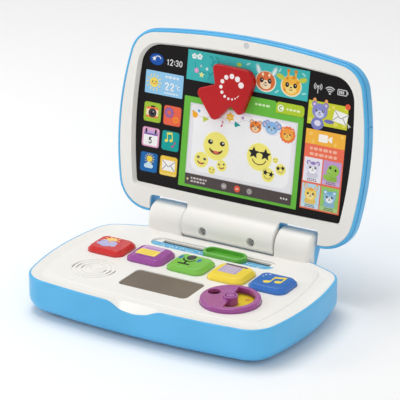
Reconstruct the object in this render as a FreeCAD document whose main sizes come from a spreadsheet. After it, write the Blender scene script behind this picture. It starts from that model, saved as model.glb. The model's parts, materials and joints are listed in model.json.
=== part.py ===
"""Toy laptop computer: a two-part plastic case with a barrel hinge, five picture keys, a turning
dial, a sliding ring, a speaker and a recessed picture panel with a turning arrow on it.

The deck frame has x across the case, y towards the hinge and z up from the deck plate.
The lid frame has x across the lid, y up the lid from the hinge axis and z out of its front face.
"""
import FreeCAD, Part
import math
import os

from FreeCAD import Placement, Rotation, Vector

DOC = FreeCAD.newDocument("toy_laptop")

DIMENSIONS = {
    # placing
    "deck_height": 33.5, "row_shift": 10.54,
    # base outline: side, front, rear and corner arcs
    "base_half_width": 125.1, "base_side_y": -13.0, "base_side_arc": 240.0,
    "base_front_y": -91.9, "base_front_arc": 800.0, "base_rear_y": 77.3, "base_rear_arc": 263.0,
    "base_front_corner": 25.0, "base_rear_corner": 21.7,
    # base shell and deck
    "rim_width": 2.0, "rim_height": 1.2, "rim_round": 1.4, "shell_depth": 30.5, "shell_wall": 2.2,
    "shell_bottom_round": 12.0, "seat_ledge": 1.6, "deck_thick": 3.0, "deck_fit": 0.12,
    "dish_width": 9.0, "dish_low": -0.7, "scoop_left": -30.0, "scoop_right": 27.0, "scoop_low_x": -2.6,
    "scoop_low_z": -6.1, "scoop_inner_y": -81.0, "tongue_low": -9.0, "post_radius": 4.0,
    # raised middle of the deck
    "plateau_half_width": 109.0, "plateau_side_y": -13.0, "plateau_side_arc": 224.0,
    "plateau_front_y": -75.9, "plateau_front_arc": 784.0, "plateau_rear_y": 96.0,
    "plateau_rear_arc": 263.0, "plateau_front_corner": 12.0, "plateau_rear_corner": 21.7,
    "plateau_slope": 1.2, "plateau_margin": 6.0,
    # hinge
    "axis_y": 76.7, "axis_z": 9.5, "knuckle_y": 78.3, "knuckle_z": 7.2, "knuckle_radius": 16.1,
    "knuckle_inner": 46.6, "knuckle_outer": 83.0, "knuckle_round": 3.2,
    "knuckle_outer_round": 5.0, "knuckle_rear_y": 88.4, "white_limit_y": 71.5,
    "white_limit_z": 13.2, "white_limit_round": 4.5, "barrel_radius": 15.5, "barrel_half": 46.0,
    "barrel_blend": 4.0,
    "deck_rear_y": 62.5, "trough_low": -7.6,
    "pin_radius": 3.5, "pin_clearance": 0.06, "pin_inner_x": 34.0, "pin_outer_x": 78.0,
    "open_lean": 9.16, "washer_thick": 0.4, "washer_radius": 6.5,
    # keys
    "key_pitch": 40.5, "key_row_x": -3.2, "key_row_y": 6.0, "key_width": 36.2, "key_depth": 32.4,
    "key_corner": 8.0, "key_top": 5.0, "key_bevel": 3.0, "key_edge_round": 1.0, "key_gap": 0.35,
    "key_flange_gap": 0.2, "key_flange_thick": 1.3, "key_flange_width": 39.2,
    "key_flange_depth": 35.0, "key_flange_corner": 6.0, "key_hollow_width": 28.0,
    "key_hollow_depth": 24.0, "key_hollow_corner": 4.0, "key_roof": 2.4, "key_stem_radius": 3.6,
    "key_stem_low": 8.0, "key_travel": 2.2,
    "dome_radius": 4.2, "dome_top": 10.4, "mat_thick": 0.8, "mat_width": 206.0, "mat_depth": 26.0,
    "board_thick": 1.6, "key_board_top": 12.4,
    # touch pad
    "pad_x": -6.35, "pad_y": -38.0, "pad_width": 68.1, "pad_depth": 35.8, "pad_corner": 5.0,
    "pad_recess": 1.0, "pad_thick": 1.0,
    # slider
    "slot_left": -64.0, "slot_right": 60.0, "slot_y": 41.5, "slot_radius": 9.0, "slot_depth": 1.6,
    "slit_left": -55.5, "slit_right": 53.5, "slit_low_y": 43.8, "slit_high_y": 49.4,
    "tray_wall": 1.8, "tray_floor": 1.8, "ring_x": 10.5, "ring_length": 42.5,
    "ring_radius": 8.5, "ring_wall": 2.5, "ring_top": 3.0, "ring_lift": 0.5,
    "ring_floor": 0.8,
    "neck_length": 16.0, "neck_width": 4.6, "shoe_length": 22.0, "shoe_width": 10.0,
    "shoe_thick": 1.5, "shoe_gap": 0.3, "label_thick": 0.3, "slider_board_top": 10.0,
    # dial
    "dial_x": 62.6, "dial_y": -40.0, "dial_radius": 25.9, "dial_well_radius": 26.4,
    "dial_well_depth": 2.6, "dial_top": 4.2, "dial_plate": 2.6, "dial_skirt": 2.3,
    "dial_rim": 4.75, "dial_hub_radius": 6.5, "dial_hub_rise": 1.6, "dial_hole_radius": 5.6,
    "dial_hole_x": -17.2, "dial_hole_y": 2.7, "dial_lift": 0.5, "dial_window_low": -78.0,
    "dial_window_high": 100.0, "axle_radius": 3.0, "axle_clearance": 0.06, "axle_low": 11.4,
    "keeper_radius": 6.0, "keeper_thick": 1.6, "keeper_gap": 0.3,
    # speaker
    "speaker_x": -74.0, "speaker_y": -39.1, "speaker_radius": 22.5, "speaker_frame_deep": 3.0,
    "cone_radius": 19.5, "magnet_radius": 11.0, "magnet_deep": 6.0, "grille_slot": 1.5,
    "grille_inner": 11.0, "grille_middle": 15.5, "grille_outer": 19.5, "grille_span": 16.0,
    # battery box and feet
    "door_x": 0.0, "door_y": -52.0, "door_width": 66.0, "door_depth": 44.0, "door_corner": 4.0,
    "door_thick": 2.4, "door_gap": 0.3, "door_seat": 1.6, "door_screw_y": 18.0,
    "battery_radius": 7.1, "battery_length": 50.0, "battery_gap": 15.6, "battery_shift": -1.5,
    "foot_front_x": 96.0, "foot_front_y": -68.0, "foot_rear_x": 62.0, "foot_rear_y": 51.0,
    "foot_radius": 6.0,
    "foot_height": 3.0,
    # screws
    "screw_head": 3.0, "screw_head_high": 1.5, "screw_shank": 1.4, "screw_fit": 0.05,
    "screw_length": 10.0, "case_screw_length": 14.0, "case_screw_rise": 13.0,
    "lid_screw_rise": 6.0,
    # lid outline
    "lid_half_width": 122.1, "lid_side_y": 82.0, "lid_side_arc": 281.0, "lid_low_y": 4.0,
    "lid_low_arc": 6000.0, "lid_top_y": 171.8, "lid_top_arc": 666.0, "lid_low_corner": 28.6,
    "lid_top_corner": 25.1,
    # lid parts
    "bezel_front": 6.55, "bezel_thick": 2.4, "lid_rim": 2.0, "lid_rim_front": 6.35,
    "lid_back": 12.0, "lid_back_round": 9.0, "lid_wall": 2.2, "groove_top": 3.5,
    "groove_low": 2.7, "groove_depth": 0.9, "band_out": 2.6, "notch_inner": 46.0,
    "notch_outer": 85.5, "notch_top": 18.2, "notch_corner": 3.5, "step_y": 115.0,
    "step_width": 1.6, "step_depth": 0.9,
    # picture panel
    "panel_half_width": 110.5, "panel_side_y": 95.0, "panel_side_arc": 407.0,
    "panel_low_y": 23.7, "panel_low_arc": 6000.0, "panel_top_y": 160.0, "panel_top_arc": 1052.0,
    "panel_low_corner": 5.0, "panel_top_corner": 23.0, "panel_draft": 2.0, "panel_face": 2.05,
    "panel_thick": 2.0, "panel_margin": 1.4,
    # turning arrow
    "arrow_x": -12.8, "arrow_y": 124.1, "arrow_low": 2.45, "arrow_top": 8.45,
    "arrow_axle_radius": 4.0, "arrow_axle_clearance": 0.06, "arrow_keeper_radius": 7.0,
    "arrow_keeper_thick": 1.6, "lens_radius": 2.6, "lens_y": 167.5, "lens_depth": 0.8,
    # barrel screws
    "barrel_screw_x": 24.5, "barrel_screw_y": -3.2, "barrel_screw_level": 10.0,
    "barrel_pocket_radius": 3.9,
}

SHEET = DOC.addObject("Spreadsheet::Sheet", "sizes")
for row, (alias, value) in enumerate(DIMENSIONS.items(), start=1):
    SHEET.set("A%d" % row, alias)
    SHEET.set("B%d" % row, str(value))
    SHEET.setAlias("B%d" % row, alias)
DOC.recompute()

SUBPARTS = []


def size(alias):
    """Read one driving dimension from the sheet."""
    return float(SHEET.get(alias))


DECK_PLACE = Placement(Vector(0, -size("row_shift"), size("deck_height")), Rotation())
LID_TILT = Rotation(Vector(1, 0, 0), 90.0 - size("open_lean"))
LID_PLACE = DECK_PLACE.multiply(Placement(Vector(0, size("axis_y"), size("axis_z")), LID_TILT))
FACE_DOWN = Rotation(Vector(1, 0, 0), 180.0)
ALONG_X = Rotation(Vector(0, 1, 0), 90.0)


def spot(frame, x, y, z, turn=None):
    """Place a sub-part at a point of the deck frame or the lid frame."""
    return frame.multiply(Placement(Vector(x, y, z), turn or Rotation()))


def bind(item, **links):
    """Tie properties of a document object to sheet expressions."""
    for name, expression in links.items():
        item.setExpression(name.replace("__", "."), expression)


def register(item, label, place):
    """Name a finished sub-part and put it in the row frame."""
    item.Label = label
    item.Placement = place
    SUBPARTS.append(item)
    return item


def solid_part(label, shape, place):
    """Make a sub-part from a shape worked out in this script."""
    item = DOC.addObject("Part::Feature", label)
    item.Shape = shape.removeSplitter()
    return register(item, label, place)


# ---------------------------------------------------------------- outlines

def corner_centre(side, side_radius, end, end_radius, corner):
    """Centre of the corner arc tangent inside a side arc and an end arc, on the +x half."""
    across = end.sub(side)
    gap = across.Length
    reach_side = side_radius - corner
    reach_end = end_radius - corner
    along = (reach_side ** 2 - reach_end ** 2 + gap ** 2) / (2.0 * gap)
    height = math.sqrt(max(reach_side ** 2 - along ** 2, 0.0))
    unit = across.multiply(1.0 / gap)
    normal = Vector(-unit.y, unit.x, 0)
    options = [side.add(unit * along).add(normal * height * sign) for sign in (1, -1)]
    return max(options, key=lambda point: point.x)


def toward(start, target, distance):
    """The point a given distance from start in the direction of target."""
    ray = target.sub(start)
    return start.add(ray.multiply(distance / ray.Length))


def case_outline(name, low, high, inset, level):
    """Closed outline of side, end and corner arcs, moved inward by inset, at one level."""
    half = size(name + "_half_width")
    side_radius = size(name + "_side_arc")
    low_radius = size(name + "_%s_arc" % low)
    high_radius = size(name + "_%s_arc" % high)
    low_corner = size(name + "_%s_corner" % low)
    high_corner = size(name + "_%s_corner" % high)
    side_y = size(name + "_side_y")
    low_y = size(name + "_%s_y" % low)
    high_y = size(name + "_%s_y" % high)
    side = Vector(half - side_radius, side_y, 0)
    low_centre = Vector(0, low_y + low_radius, 0)
    high_centre = Vector(0, high_y - high_radius, 0)
    low_spot = corner_centre(side, side_radius, low_centre, low_radius, low_corner)
    high_spot = corner_centre(side, side_radius, high_centre, high_radius, high_corner)
    a = toward(low_centre, low_spot, low_radius - inset)
    b = toward(side, low_spot, side_radius - inset)
    c = toward(side, high_spot, side_radius - inset)
    d = toward(high_centre, high_spot, high_radius - inset)
    low_bend = low_spot.add(toward(Vector(), a.add(b).sub(low_spot * 2), low_corner - inset))
    high_bend = high_spot.add(toward(Vector(), c.add(d).sub(high_spot * 2), high_corner - inset))
    side_mid = Vector(half - inset, side_y, 0)
    low_mid = Vector(0, low_y + inset, 0)
    high_mid = Vector(0, high_y - inset, 0)

    def flip(point):
        return Vector(-point.x, point.y, point.z)

    arcs = [(flip(a), low_mid, a), (a, low_bend, b), (b, side_mid, c), (c, high_bend, d),
            (d, high_mid, flip(d)), (flip(d), flip(high_bend), flip(c)),
            (flip(c), flip(side_mid), flip(b)), (flip(b), flip(low_bend), flip(a))]
    wire = Part.Wire([Part.Arc(*points).toShape() for points in arcs])
    wire.translate(Vector(0, 0, level))
    return wire


def base_outline(inset, level):
    return case_outline("base", "front", "rear", inset, level)


def plateau_outline(inset, level):
    return case_outline("plateau", "front", "rear", inset, level)


def lid_outline(inset, level):
    return case_outline("lid", "low", "top", inset, level)


def panel_outline(inset, level):
    return case_outline("panel", "low", "top", inset, level)


def raise_wire(wire, height):
    """Extrude a flat closed wire along z."""
    return Part.Face(wire).extrude(Vector(0, 0, height))


def block(x0, x1, y0, y1, z0, z1):
    """Box between two corners."""
    return Part.makeBox(x1 - x0, y1 - y0, z1 - z0, Vector(x0, y0, z0))


def disc(x, y, radius, z0, z1):
    """Upright cylinder between two levels."""
    return Part.makeCylinder(radius, z1 - z0, Vector(x, y, z0))


def stadium(x0, x1, y, radius, z0, z1):
    """Long slot shape with round ends, x0 and x1 being its outer ends."""
    body = block(x0 + radius, x1 - radius, y - radius, y + radius, z0, z1)
    for centre in (x0 + radius, x1 - radius):
        body = body.fuse(disc(centre, y, radius, z0, z1))
    return body.removeSplitter()


def rounded_block(x, y, length, width, corner, z0, z1):
    """Box with rounded upright edges, centred on x, y."""
    body = block(x - length / 2, x + length / 2, y - width / 2, y + width / 2, z0, z1)
    upright = [edge for edge in body.Edges if edge.Vertexes[0].X == edge.Vertexes[1].X
               and edge.Vertexes[0].Y == edge.Vertexes[1].Y]
    return body.makeFillet(corner, upright)


def edges_at(shape, level):
    """Edges that lie wholly at one level."""
    return [edge for edge in shape.Edges
            if abs(edge.BoundBox.ZMin - level) < 1e-4 and abs(edge.BoundBox.ZMax - level) < 1e-4]


def profile_bar(points, x0, x1):
    """Straight bar along x from a closed wire drawn in the y-z plane."""
    face = Part.Face(Part.Wire(points))
    bar = face.extrude(Vector(x1 - x0, 0, 0))
    bar.translate(Vector(x0, 0, 0))
    return bar


def line(y0, z0, y1, z1):
    return Part.makeLine(Vector(0, y0, z0), Vector(0, y1, z1))


def arc(y0, z0, y1, z1, y2, z2):
    return Part.Arc(Vector(0, y0, z0), Vector(0, y1, z1), Vector(0, y2, z2)).toShape()


# ---------------------------------------------------------------- base shell and deck

RIM_TOP = size("rim_height")
DECK_LOW = -size("deck_thick")
SHELL_LOW = -size("shell_depth")
TROUGH_LOW = size("trough_low")
BARREL_SPACE = size("knuckle_inner")
BIG = 300.0


def knuckle(side):
    """Full hinge knuckle with rounded edges, on the side given by +1 or -1."""
    y, z, radius = size("knuckle_y"), size("knuckle_z"), size("knuckle_radius")
    front = y - radius
    rear = size("knuckle_rear_y")
    turn = math.acos((rear - y) / radius)
    rear_z = z + radius * math.sin(turn)
    low = DECK_LOW - 11.0
    outline = [line(front, low, front, z), arc(front, z, y, z + radius, rear, rear_z),
               line(rear, rear_z, rear - 0.8, z + 2.0), line(rear - 0.8, z + 2.0, y, z - 14.6),
               line(y, z - 14.6, y - 7.0, low), line(y - 7.0, low, front, low)]
    bar = profile_bar(outline, size("knuckle_inner"), size("knuckle_outer"))
    for end, corner in (("knuckle_outer", "knuckle_outer_round"),
                        ("knuckle_inner", "knuckle_round")):
        edges = [edge for edge in bar.Edges if edge.BoundBox.XLength < 1e-4
                 and edge.BoundBox.ZMax > z - 1.0
                 and abs(edge.BoundBox.XMin - size(end)) < 1e-4]
        bar = bar.makeFillet(size(corner), edges)
    return bar if side > 0 else bar.mirror(Vector(), Vector(1, 0, 0))


def white_zone():
    """Region of the knuckles that belongs to the white deck moulding: the front and the top."""
    limit_y, limit_z = size("white_limit_y"), size("white_limit_z")
    blue = block(-BIG, BIG, limit_y, BIG, -BIG, limit_z)
    corner = [edge for edge in blue.Edges if abs(edge.BoundBox.YMax - limit_y) < 1e-4
              and abs(edge.BoundBox.ZMin - limit_z) < 1e-4]
    blue = blue.makeFillet(size("white_limit_round"), corner)
    return block(-100, 100, 0, 120, DECK_LOW, 60).cut(blue)


def scoop():
    """Smooth dip at the middle of the front edge that lets a finger under the lid."""
    left, right, low_x = size("scoop_left"), size("scoop_right"), size("scoop_low_x")

    def section(y, low):
        fall = low - RIM_TOP
        knots = [(left - 8, 0.0), (left, -0.01), (left + 8, 0.3), ((left + low_x) / 2, 0.74),
                 (low_x - 6, 0.95), (low_x, 1.0), (low_x + 9, 0.86), ((right + low_x) / 2, 0.66),
                 (right - 6, 0.14), (right, -0.01), (right + 8, 0.0)]
        curve = Part.BSplineCurve()
        curve.interpolate([Vector(x, y, RIM_TOP + 0.01 + fall * share) for x, share in knots])
        corners = [Vector(right + 8, y, RIM_TOP + 0.01), Vector(right + 8, y, 12),
                   Vector(left - 8, y, 12), Vector(left - 8, y, RIM_TOP + 0.01)]
        sides = [Part.makeLine(p, q) for p, q in zip(corners, corners[1:])]
        return Part.Wire([curve.toShape()] + sides)
    front = size("base_front_y")
    low_z = size("scoop_low_z")
    return Part.makeLoft([section(size("scoop_inner_y"), -0.05), section(front, low_z),
                          section(front - 6, low_z)], True, True)


def tongue(inset, grow):
    """Front middle zone where the deck moulding is deep enough for the scoop."""
    low = size("tongue_low") - grow
    zone = raise_wire(base_outline(inset, low), DECK_LOW - low + 0.1)
    return zone.common(block(-37 - grow, 34 + grow, -120, size("scoop_inner_y") + grow, low,
                             DECK_LOW + 0.1))


def pin_channel():
    """Round channel through both knuckles for the hinge pins."""
    length = 2 * size("pin_outer_x")
    return Part.makeCylinder(size("pin_radius"), length,
                             Vector(-length / 2, size("axis_y"), size("axis_z")), Vector(1, 0, 0))


def screw_posts():
    """The four places where the base case screws stand."""
    return [(x, y) for x in (-104.0, 104.0) for y in (-60.0, 30.0)]


def knuckle_blue(side):
    """The rear and lower part of a knuckle, which belongs to the blue case."""
    return knuckle(side).cut(white_zone())


def build_base_lower_shell():
    wall = size("shell_wall")
    outer = raise_wire(base_outline(-size("rim_width"), SHELL_LOW), RIM_TOP - SHELL_LOW)
    outer = outer.makeFillet(size("shell_bottom_round"), edges_at(outer, SHELL_LOW))
    outer = outer.makeFillet(size("rim_round"), edges_at(outer, RIM_TOP))
    inner_low = SHELL_LOW + wall
    cavity = raise_wire(base_outline(size("seat_ledge"), inner_low), DECK_LOW - inner_low)
    cavity = cavity.makeFillet(size("shell_bottom_round") - 2.5, edges_at(cavity, inner_low))
    rear_y = size("deck_rear_y")
    cavity = cavity.cut(block(-BARREL_SPACE - wall, BARREL_SPACE + wall, rear_y - wall, 120,
                              TROUGH_LOW - wall, 0))
    post = size("post_radius")
    for x, y in screw_posts():
        cavity = cavity.cut(disc(x, y, post, SHELL_LOW, DECK_LOW - 6.0))
    for side in (1, -1):
        cavity = cavity.cut(knuckle(side).common(block(-100, 100, 0, 120, -40, DECK_LOW)))
    door_x, door_y = size("door_x"), size("door_y")
    seat_top = SHELL_LOW + size("door_thick") + size("door_seat")
    cavity = cavity.cut(rounded_block(door_x, door_y, size("door_width") + 5,
                                      size("door_depth") + 5, size("door_corner") + 2,
                                      SHELL_LOW, seat_top))
    screw_y = door_y + size("door_screw_y")
    boss = disc(door_x, screw_y, 3.2, SHELL_LOW, SHELL_LOW + 12.0)
    cavity = cavity.cut(boss.cut(battery_box_block()))
    seat = raise_wire(base_outline(0.0, DECK_LOW), 20.0)
    seat = seat.cut(block(-BIG, BIG, size("white_limit_y"), BIG, -40, 40))
    shell = outer.cut(cavity)
    shell = shell.cut(block(-BARREL_SPACE, BARREL_SPACE, rear_y, 120, TROUGH_LOW, 20))
    for side in (1, -1):
        shell = shell.cut(knuckle(side).common(white_zone()))
        shell = shell.fuse(knuckle_blue(side))
    shell = shell.cut(seat).cut(tongue(0.0, 0.1)).cut(scoop()).cut(pin_channel())
    for x, y in screw_posts():
        head_seat = SHELL_LOW + size("case_screw_rise") + size("screw_head_high")
        shell = shell.cut(disc(x, y, size("screw_head") + 0.3, SHELL_LOW - 1, head_seat))
        shell = shell.cut(disc(x, y, size("screw_shank") + 0.3, SHELL_LOW, DECK_LOW))
    shell = shell.cut(rounded_block(door_x, door_y, size("door_width"), size("door_depth"),
                                    size("door_corner"), SHELL_LOW - 1,
                                    SHELL_LOW + size("door_thick")))
    middle = door_y + size("battery_shift")
    shell = shell.cut(block(-28.0, 28.0, middle - 15.5, middle + 15.5, SHELL_LOW, seat_top + 1))
    return shell.cut(disc(door_x, screw_y, size("screw_shank") + size("screw_fit"), SHELL_LOW,
                          SHELL_LOW + 11.5))


def battery_box_block():
    """Outside of the battery box."""
    low = SHELL_LOW + size("door_thick") + size("door_seat")
    middle = size("door_y") + size("battery_shift")
    return block(-30.0, 30.0, middle - 17.2, middle + 17.2, low,
                 low + 2 * size("battery_radius") + 1.6)


def key_spots():
    """Centres of the five keys, left to right."""
    return [(size("key_row_x") + step * size("key_pitch"), size("key_row_y"))
            for step in (-2, -1, 0, 1, 2)]


def grille_slots():
    """Short curved slots through the deck at both ends of each speaker ring."""
    x, y = size("speaker_x"), size("speaker_y")
    slots = []
    for radius in (size("grille_inner"), size("grille_middle"), size("grille_outer")):
        ring = disc(x, y, radius + size("grille_slot") / 2, DECK_LOW - 1, 2)
        ring = ring.cut(disc(x, y, radius - size("grille_slot") / 2, DECK_LOW - 1, 2))
        for start in (180.0, 0.0):
            reach = math.radians(size("grille_span"))
            turn = math.radians(start)
            points = [Vector(x, y, DECK_LOW - 1)]
            for angle in (turn - reach, turn + reach):
                points.append(Vector(x + 40 * math.cos(angle), y + 40 * math.sin(angle),
                                     DECK_LOW - 1))
            wedge = Part.Face(Part.makePolygon(points + points[:1])).extrude(Vector(0, 0, 6))
            slots.append(ring.common(wedge))
    return slots


def grille_rings():
    """Shallow ring grooves pressed into the deck round the speaker."""
    x, y = size("speaker_x"), size("speaker_y")
    grooves = []
    for radius in (size("grille_inner"), size("grille_middle"), size("grille_outer")):
        ring = disc(x, y, radius + 0.5, -0.5, 2).cut(disc(x, y, radius - 0.5, -0.5, 2))
        grooves.append(ring)
    return grooves


def plateau():
    """Raised middle of the deck, with a sloped edge at the front and the sides."""
    low = size("dish_low")
    slope = size("plateau_slope")
    hill = Part.makeLoft([plateau_outline(0.7 * low, 2 * low), plateau_outline(slope, 0.0)],
                         True, True)
    return hill.common(raise_wire(base_outline(size("plateau_margin"), 2 * low), -2 * low))


def build_base_deck():
    fit = size("deck_fit")
    plate = raise_wire(base_outline(fit, DECK_LOW), RIM_TOP - DECK_LOW)
    dish = Part.makeLoft([base_outline(size("dish_width"), size("dish_low")),
                          base_outline(0.8, RIM_TOP)], True, True)
    rear_y = size("deck_rear_y")
    plate = plate.cut(dish).fuse(plateau()).fuse(tongue(fit, 0.0))
    plate = plate.cut(block(-BARREL_SPACE, BARREL_SPACE, rear_y, BIG, DECK_LOW - 1, 20))
    plate = plate.cut(block(-BIG, BIG, size("white_limit_y"), BIG, DECK_LOW - 1, 20))
    slot_low = -size("slot_depth")
    tray_low = slot_low - size("tray_floor")
    radius = size("slot_radius")
    left, right = size("slot_left"), size("slot_right")
    wall = size("tray_wall")
    plate = plate.fuse(stadium(left - wall, right + wall, size("slot_y"), radius + wall,
                               tray_low, DECK_LOW))
    dial_x, dial_y = size("dial_x"), size("dial_y")
    well_low = -size("dial_well_depth")
    plate = plate.fuse(disc(dial_x, dial_y, size("dial_well_radius") + 2, well_low - 2, DECK_LOW))
    for x, y in screw_posts():
        plate = plate.fuse(disc(x, y, size("post_radius"), DECK_LOW - 5.9, DECK_LOW))
    for side in (1, -1):
        plate = plate.fuse(knuckle(side).common(white_zone()))
    plate = plate.cut(scoop())
    for x, y in key_spots():
        gap = size("key_gap")
        plate = plate.cut(rounded_block(x, y, size("key_width") + 2 * gap,
                                        size("key_depth") + 2 * gap, size("key_corner") + gap,
                                        DECK_LOW - 1, 5))
    recess = -size("pad_recess") - size("pad_thick")
    plate = plate.cut(rounded_block(size("pad_x"), size("pad_y"), size("pad_width"),
                                    size("pad_depth"), size("pad_corner"), recess, 5))
    plate = plate.cut(stadium(left, right, size("slot_y"), radius, slot_low, 5))
    plate = plate.cut(block(size("slit_left"), size("slit_right"), size("slit_low_y"),
                            size("slit_high_y"), tray_low - 1, 0))
    plate = plate.cut(disc(dial_x, dial_y, size("dial_well_radius"), well_low, 5))
    axle_hole = size("axle_radius") + size("axle_clearance")
    plate = plate.cut(disc(dial_x, dial_y, axle_hole, well_low - 3, 0))
    for cutter in grille_slots() + grille_rings():
        plate = plate.cut(cutter)
    for x, y in screw_posts():
        plate = plate.cut(disc(x, y, size("screw_shank") + size("screw_fit"), DECK_LOW - 7,
                               DECK_LOW + 0.8))
    return plate


solid_part("base_lower_shell", build_base_lower_shell(), DECK_PLACE)
solid_part("base_deck", build_base_deck(), DECK_PLACE)


# ---------------------------------------------------------------- sketch-based pieces

def origin_plane(body, role):
    return next(item for item in body.Origin.OriginFeatures if item.Role == role)


def flat_sketch(body, name, level):
    """Sketch on the body's own XY plane, lifted by a sheet expression."""
    sketch = body.newObject("Sketcher::SketchObject", name)
    sketch.AttachmentSupport = [(origin_plane(body, "XY_Plane"), "")]
    sketch.MapMode = "FlatFace"
    bind(sketch, AttachmentOffset__Base__z=level)
    return sketch


def draw_rounded_rectangle(sketch, length, width, corner):
    """Centred rounded rectangle whose three sizes are sheet expressions."""
    import Sketcher
    half_x, half_y, bend = 20.0, 15.0, 3.0
    corners = [(half_x - bend, half_y - bend, 0), (bend - half_x, half_y - bend, 90),
               (bend - half_x, bend - half_y, 180), (half_x - bend, bend - half_y, 270)]
    arcs = []
    for x, y, start in corners:
        circle = Part.Circle(Vector(x, y, 0), Vector(0, 0, 1), bend)
        arcs.append(sketch.addGeometry(Part.ArcOfCircle(
            circle, math.radians(start), math.radians(start + 90))))
    sides = []
    for index in range(4):
        start = sketch.getPoint(arcs[index], 2)
        end = sketch.getPoint(arcs[(index + 1) % 4], 1)
        sides.append(sketch.addGeometry(Part.LineSegment(start, end)))
    for index in range(4):
        sketch.addConstraint(Sketcher.Constraint("Tangent", arcs[index], 2, sides[index], 1))
        sketch.addConstraint(Sketcher.Constraint("Tangent", sides[index], 2,
                                                 arcs[(index + 1) % 4], 1))
        kind = "Horizontal" if index % 2 == 0 else "Vertical"
        sketch.addConstraint(Sketcher.Constraint(kind, sides[index]))
    for index in (1, 2, 3):
        sketch.addConstraint(Sketcher.Constraint("Equal", arcs[0], arcs[index]))
    bounds = [("Radius", (arcs[0], bend), corner),
              ("DistanceY", (-1, 1, sides[0], 1, half_y), "(%s) / 2" % width),
              ("DistanceX", (sides[1], 1, -1, 1, half_x), "(%s) / 2" % length),
              ("DistanceY", (sides[2], 1, -1, 1, half_y), "(%s) / 2" % width),
              ("DistanceX", (-1, 1, sides[3], 1, half_x), "(%s) / 2" % length)]
    for kind, values, expression in bounds:
        number = sketch.addConstraint(Sketcher.Constraint(kind, *values))
        sketch.setExpression("Constraints[%d]" % number, expression)


def draw_circle(sketch, radius):
    """Circle about the sketch's origin with its radius from the sheet."""
    import Sketcher
    ring = sketch.addGeometry(Part.Circle(Vector(), Vector(0, 0, 1), 5.0))
    sketch.addConstraint(Sketcher.Constraint("Coincident", ring, 3, -1, 1))
    number = sketch.addConstraint(Sketcher.Constraint("Radius", ring, 5.0))
    sketch.setExpression("Constraints[%d]" % number, radius)


def pad(body, sketch, height, reverse=False):
    feature = body.newObject("PartDesign::Pad", sketch.Name + "_pad")
    feature.Profile = sketch
    feature.Reversed = reverse
    bind(feature, Length=height)
    return feature


def pocket(body, sketch, height):
    """Pocket that cuts upward from its sketch."""
    feature = body.newObject("PartDesign::Pocket", sketch.Name + "_cut")
    feature.Profile = sketch
    feature.Reversed = True
    bind(feature, Length=height)
    return feature


def top_edges(feature):
    """Names of the edges round the highest face."""
    shape = feature.Shape
    top = shape.BoundBox.ZMax
    return ["Edge%d" % number for number, edge in enumerate(shape.Edges, start=1)
            if abs(edge.BoundBox.ZMin - top) < 1e-4]


def plate_part(label, length, width, corner, thick, place):
    """Flat rounded plate whose lower face lies at its own origin."""
    body = DOC.addObject("PartDesign::Body", label)
    sketch = flat_sketch(body, label + "_outline", "0")
    draw_rounded_rectangle(sketch, length, width, corner)
    pad(body, sketch, thick)
    return register(body, label, place)


def key_part(label, x, y):
    """Key cap with bevelled top, retaining flange, hollow underside and centre stem."""
    body = DOC.addObject("PartDesign::Body", label)
    cap_low = "-sizes.deck_thick - sizes.key_flange_gap"
    flange_low = cap_low + " - sizes.key_flange_thick"
    cap = flat_sketch(body, label + "_cap", cap_low)
    draw_rounded_rectangle(cap, "sizes.key_width", "sizes.key_depth", "sizes.key_corner")
    block_pad = pad(body, cap, "sizes.key_top + sizes.deck_thick + sizes.key_flange_gap")
    DOC.recompute()
    bevel = body.newObject("PartDesign::Chamfer", label + "_bevel")
    bevel.Base = (block_pad, top_edges(block_pad))
    bind(bevel, Size="sizes.key_bevel")
    DOC.recompute()
    soft = body.newObject("PartDesign::Fillet", label + "_soft")
    soft.Base = (bevel, top_edges(bevel))
    bind(soft, Radius="sizes.key_edge_round")
    flange = flat_sketch(body, label + "_flange", flange_low)
    draw_rounded_rectangle(flange, "sizes.key_flange_width", "sizes.key_flange_depth",
                           "sizes.key_flange_corner")
    pad(body, flange, "sizes.key_flange_thick")
    hollow = flat_sketch(body, label + "_hollow", flange_low)
    draw_rounded_rectangle(hollow, "sizes.key_hollow_width", "sizes.key_hollow_depth",
                           "sizes.key_hollow_corner")
    pocket(body, hollow, "sizes.key_top - sizes.key_roof + sizes.deck_thick"
           " + sizes.key_flange_gap + sizes.key_flange_thick")
    stem = flat_sketch(body, label + "_stem", "-sizes.key_stem_low")
    draw_circle(stem, "sizes.key_stem_radius")
    pad(body, stem, "sizes.key_stem_low + sizes.key_top - sizes.key_roof + 0.2")
    return register(body, label, spot(DECK_PLACE, x, y, 0))


for colour, (x, y) in zip(("red", "purple", "green", "yellow", "blue"), key_spots()):
    key_part("key_" + colour, x, y)

plate_part("touchpad_plate", "sizes.pad_width - 0.2", "sizes.pad_depth - 0.2",
           "sizes.pad_corner - 0.1", "sizes.pad_thick",
           spot(DECK_PLACE, size("pad_x"), size("pad_y"), -size("pad_recess") - size("pad_thick")))

def offset_circle(sketch, radius, along_y):
    """Circle on the sketch's vertical axis, its radius and distance from the sheet."""
    import Sketcher
    ring = sketch.addGeometry(Part.Circle(Vector(0, 10, 0), Vector(0, 0, 1), 3.0))
    sketch.addConstraint(Sketcher.Constraint("PointOnObject", ring, 3, -2))
    number = sketch.addConstraint(Sketcher.Constraint("DistanceY", -1, 1, ring, 3, 10.0))
    sketch.setExpression("Constraints[%d]" % number, along_y)
    number = sketch.addConstraint(Sketcher.Constraint("Radius", ring, 3.0))
    sketch.setExpression("Constraints[%d]" % number, radius)


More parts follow.
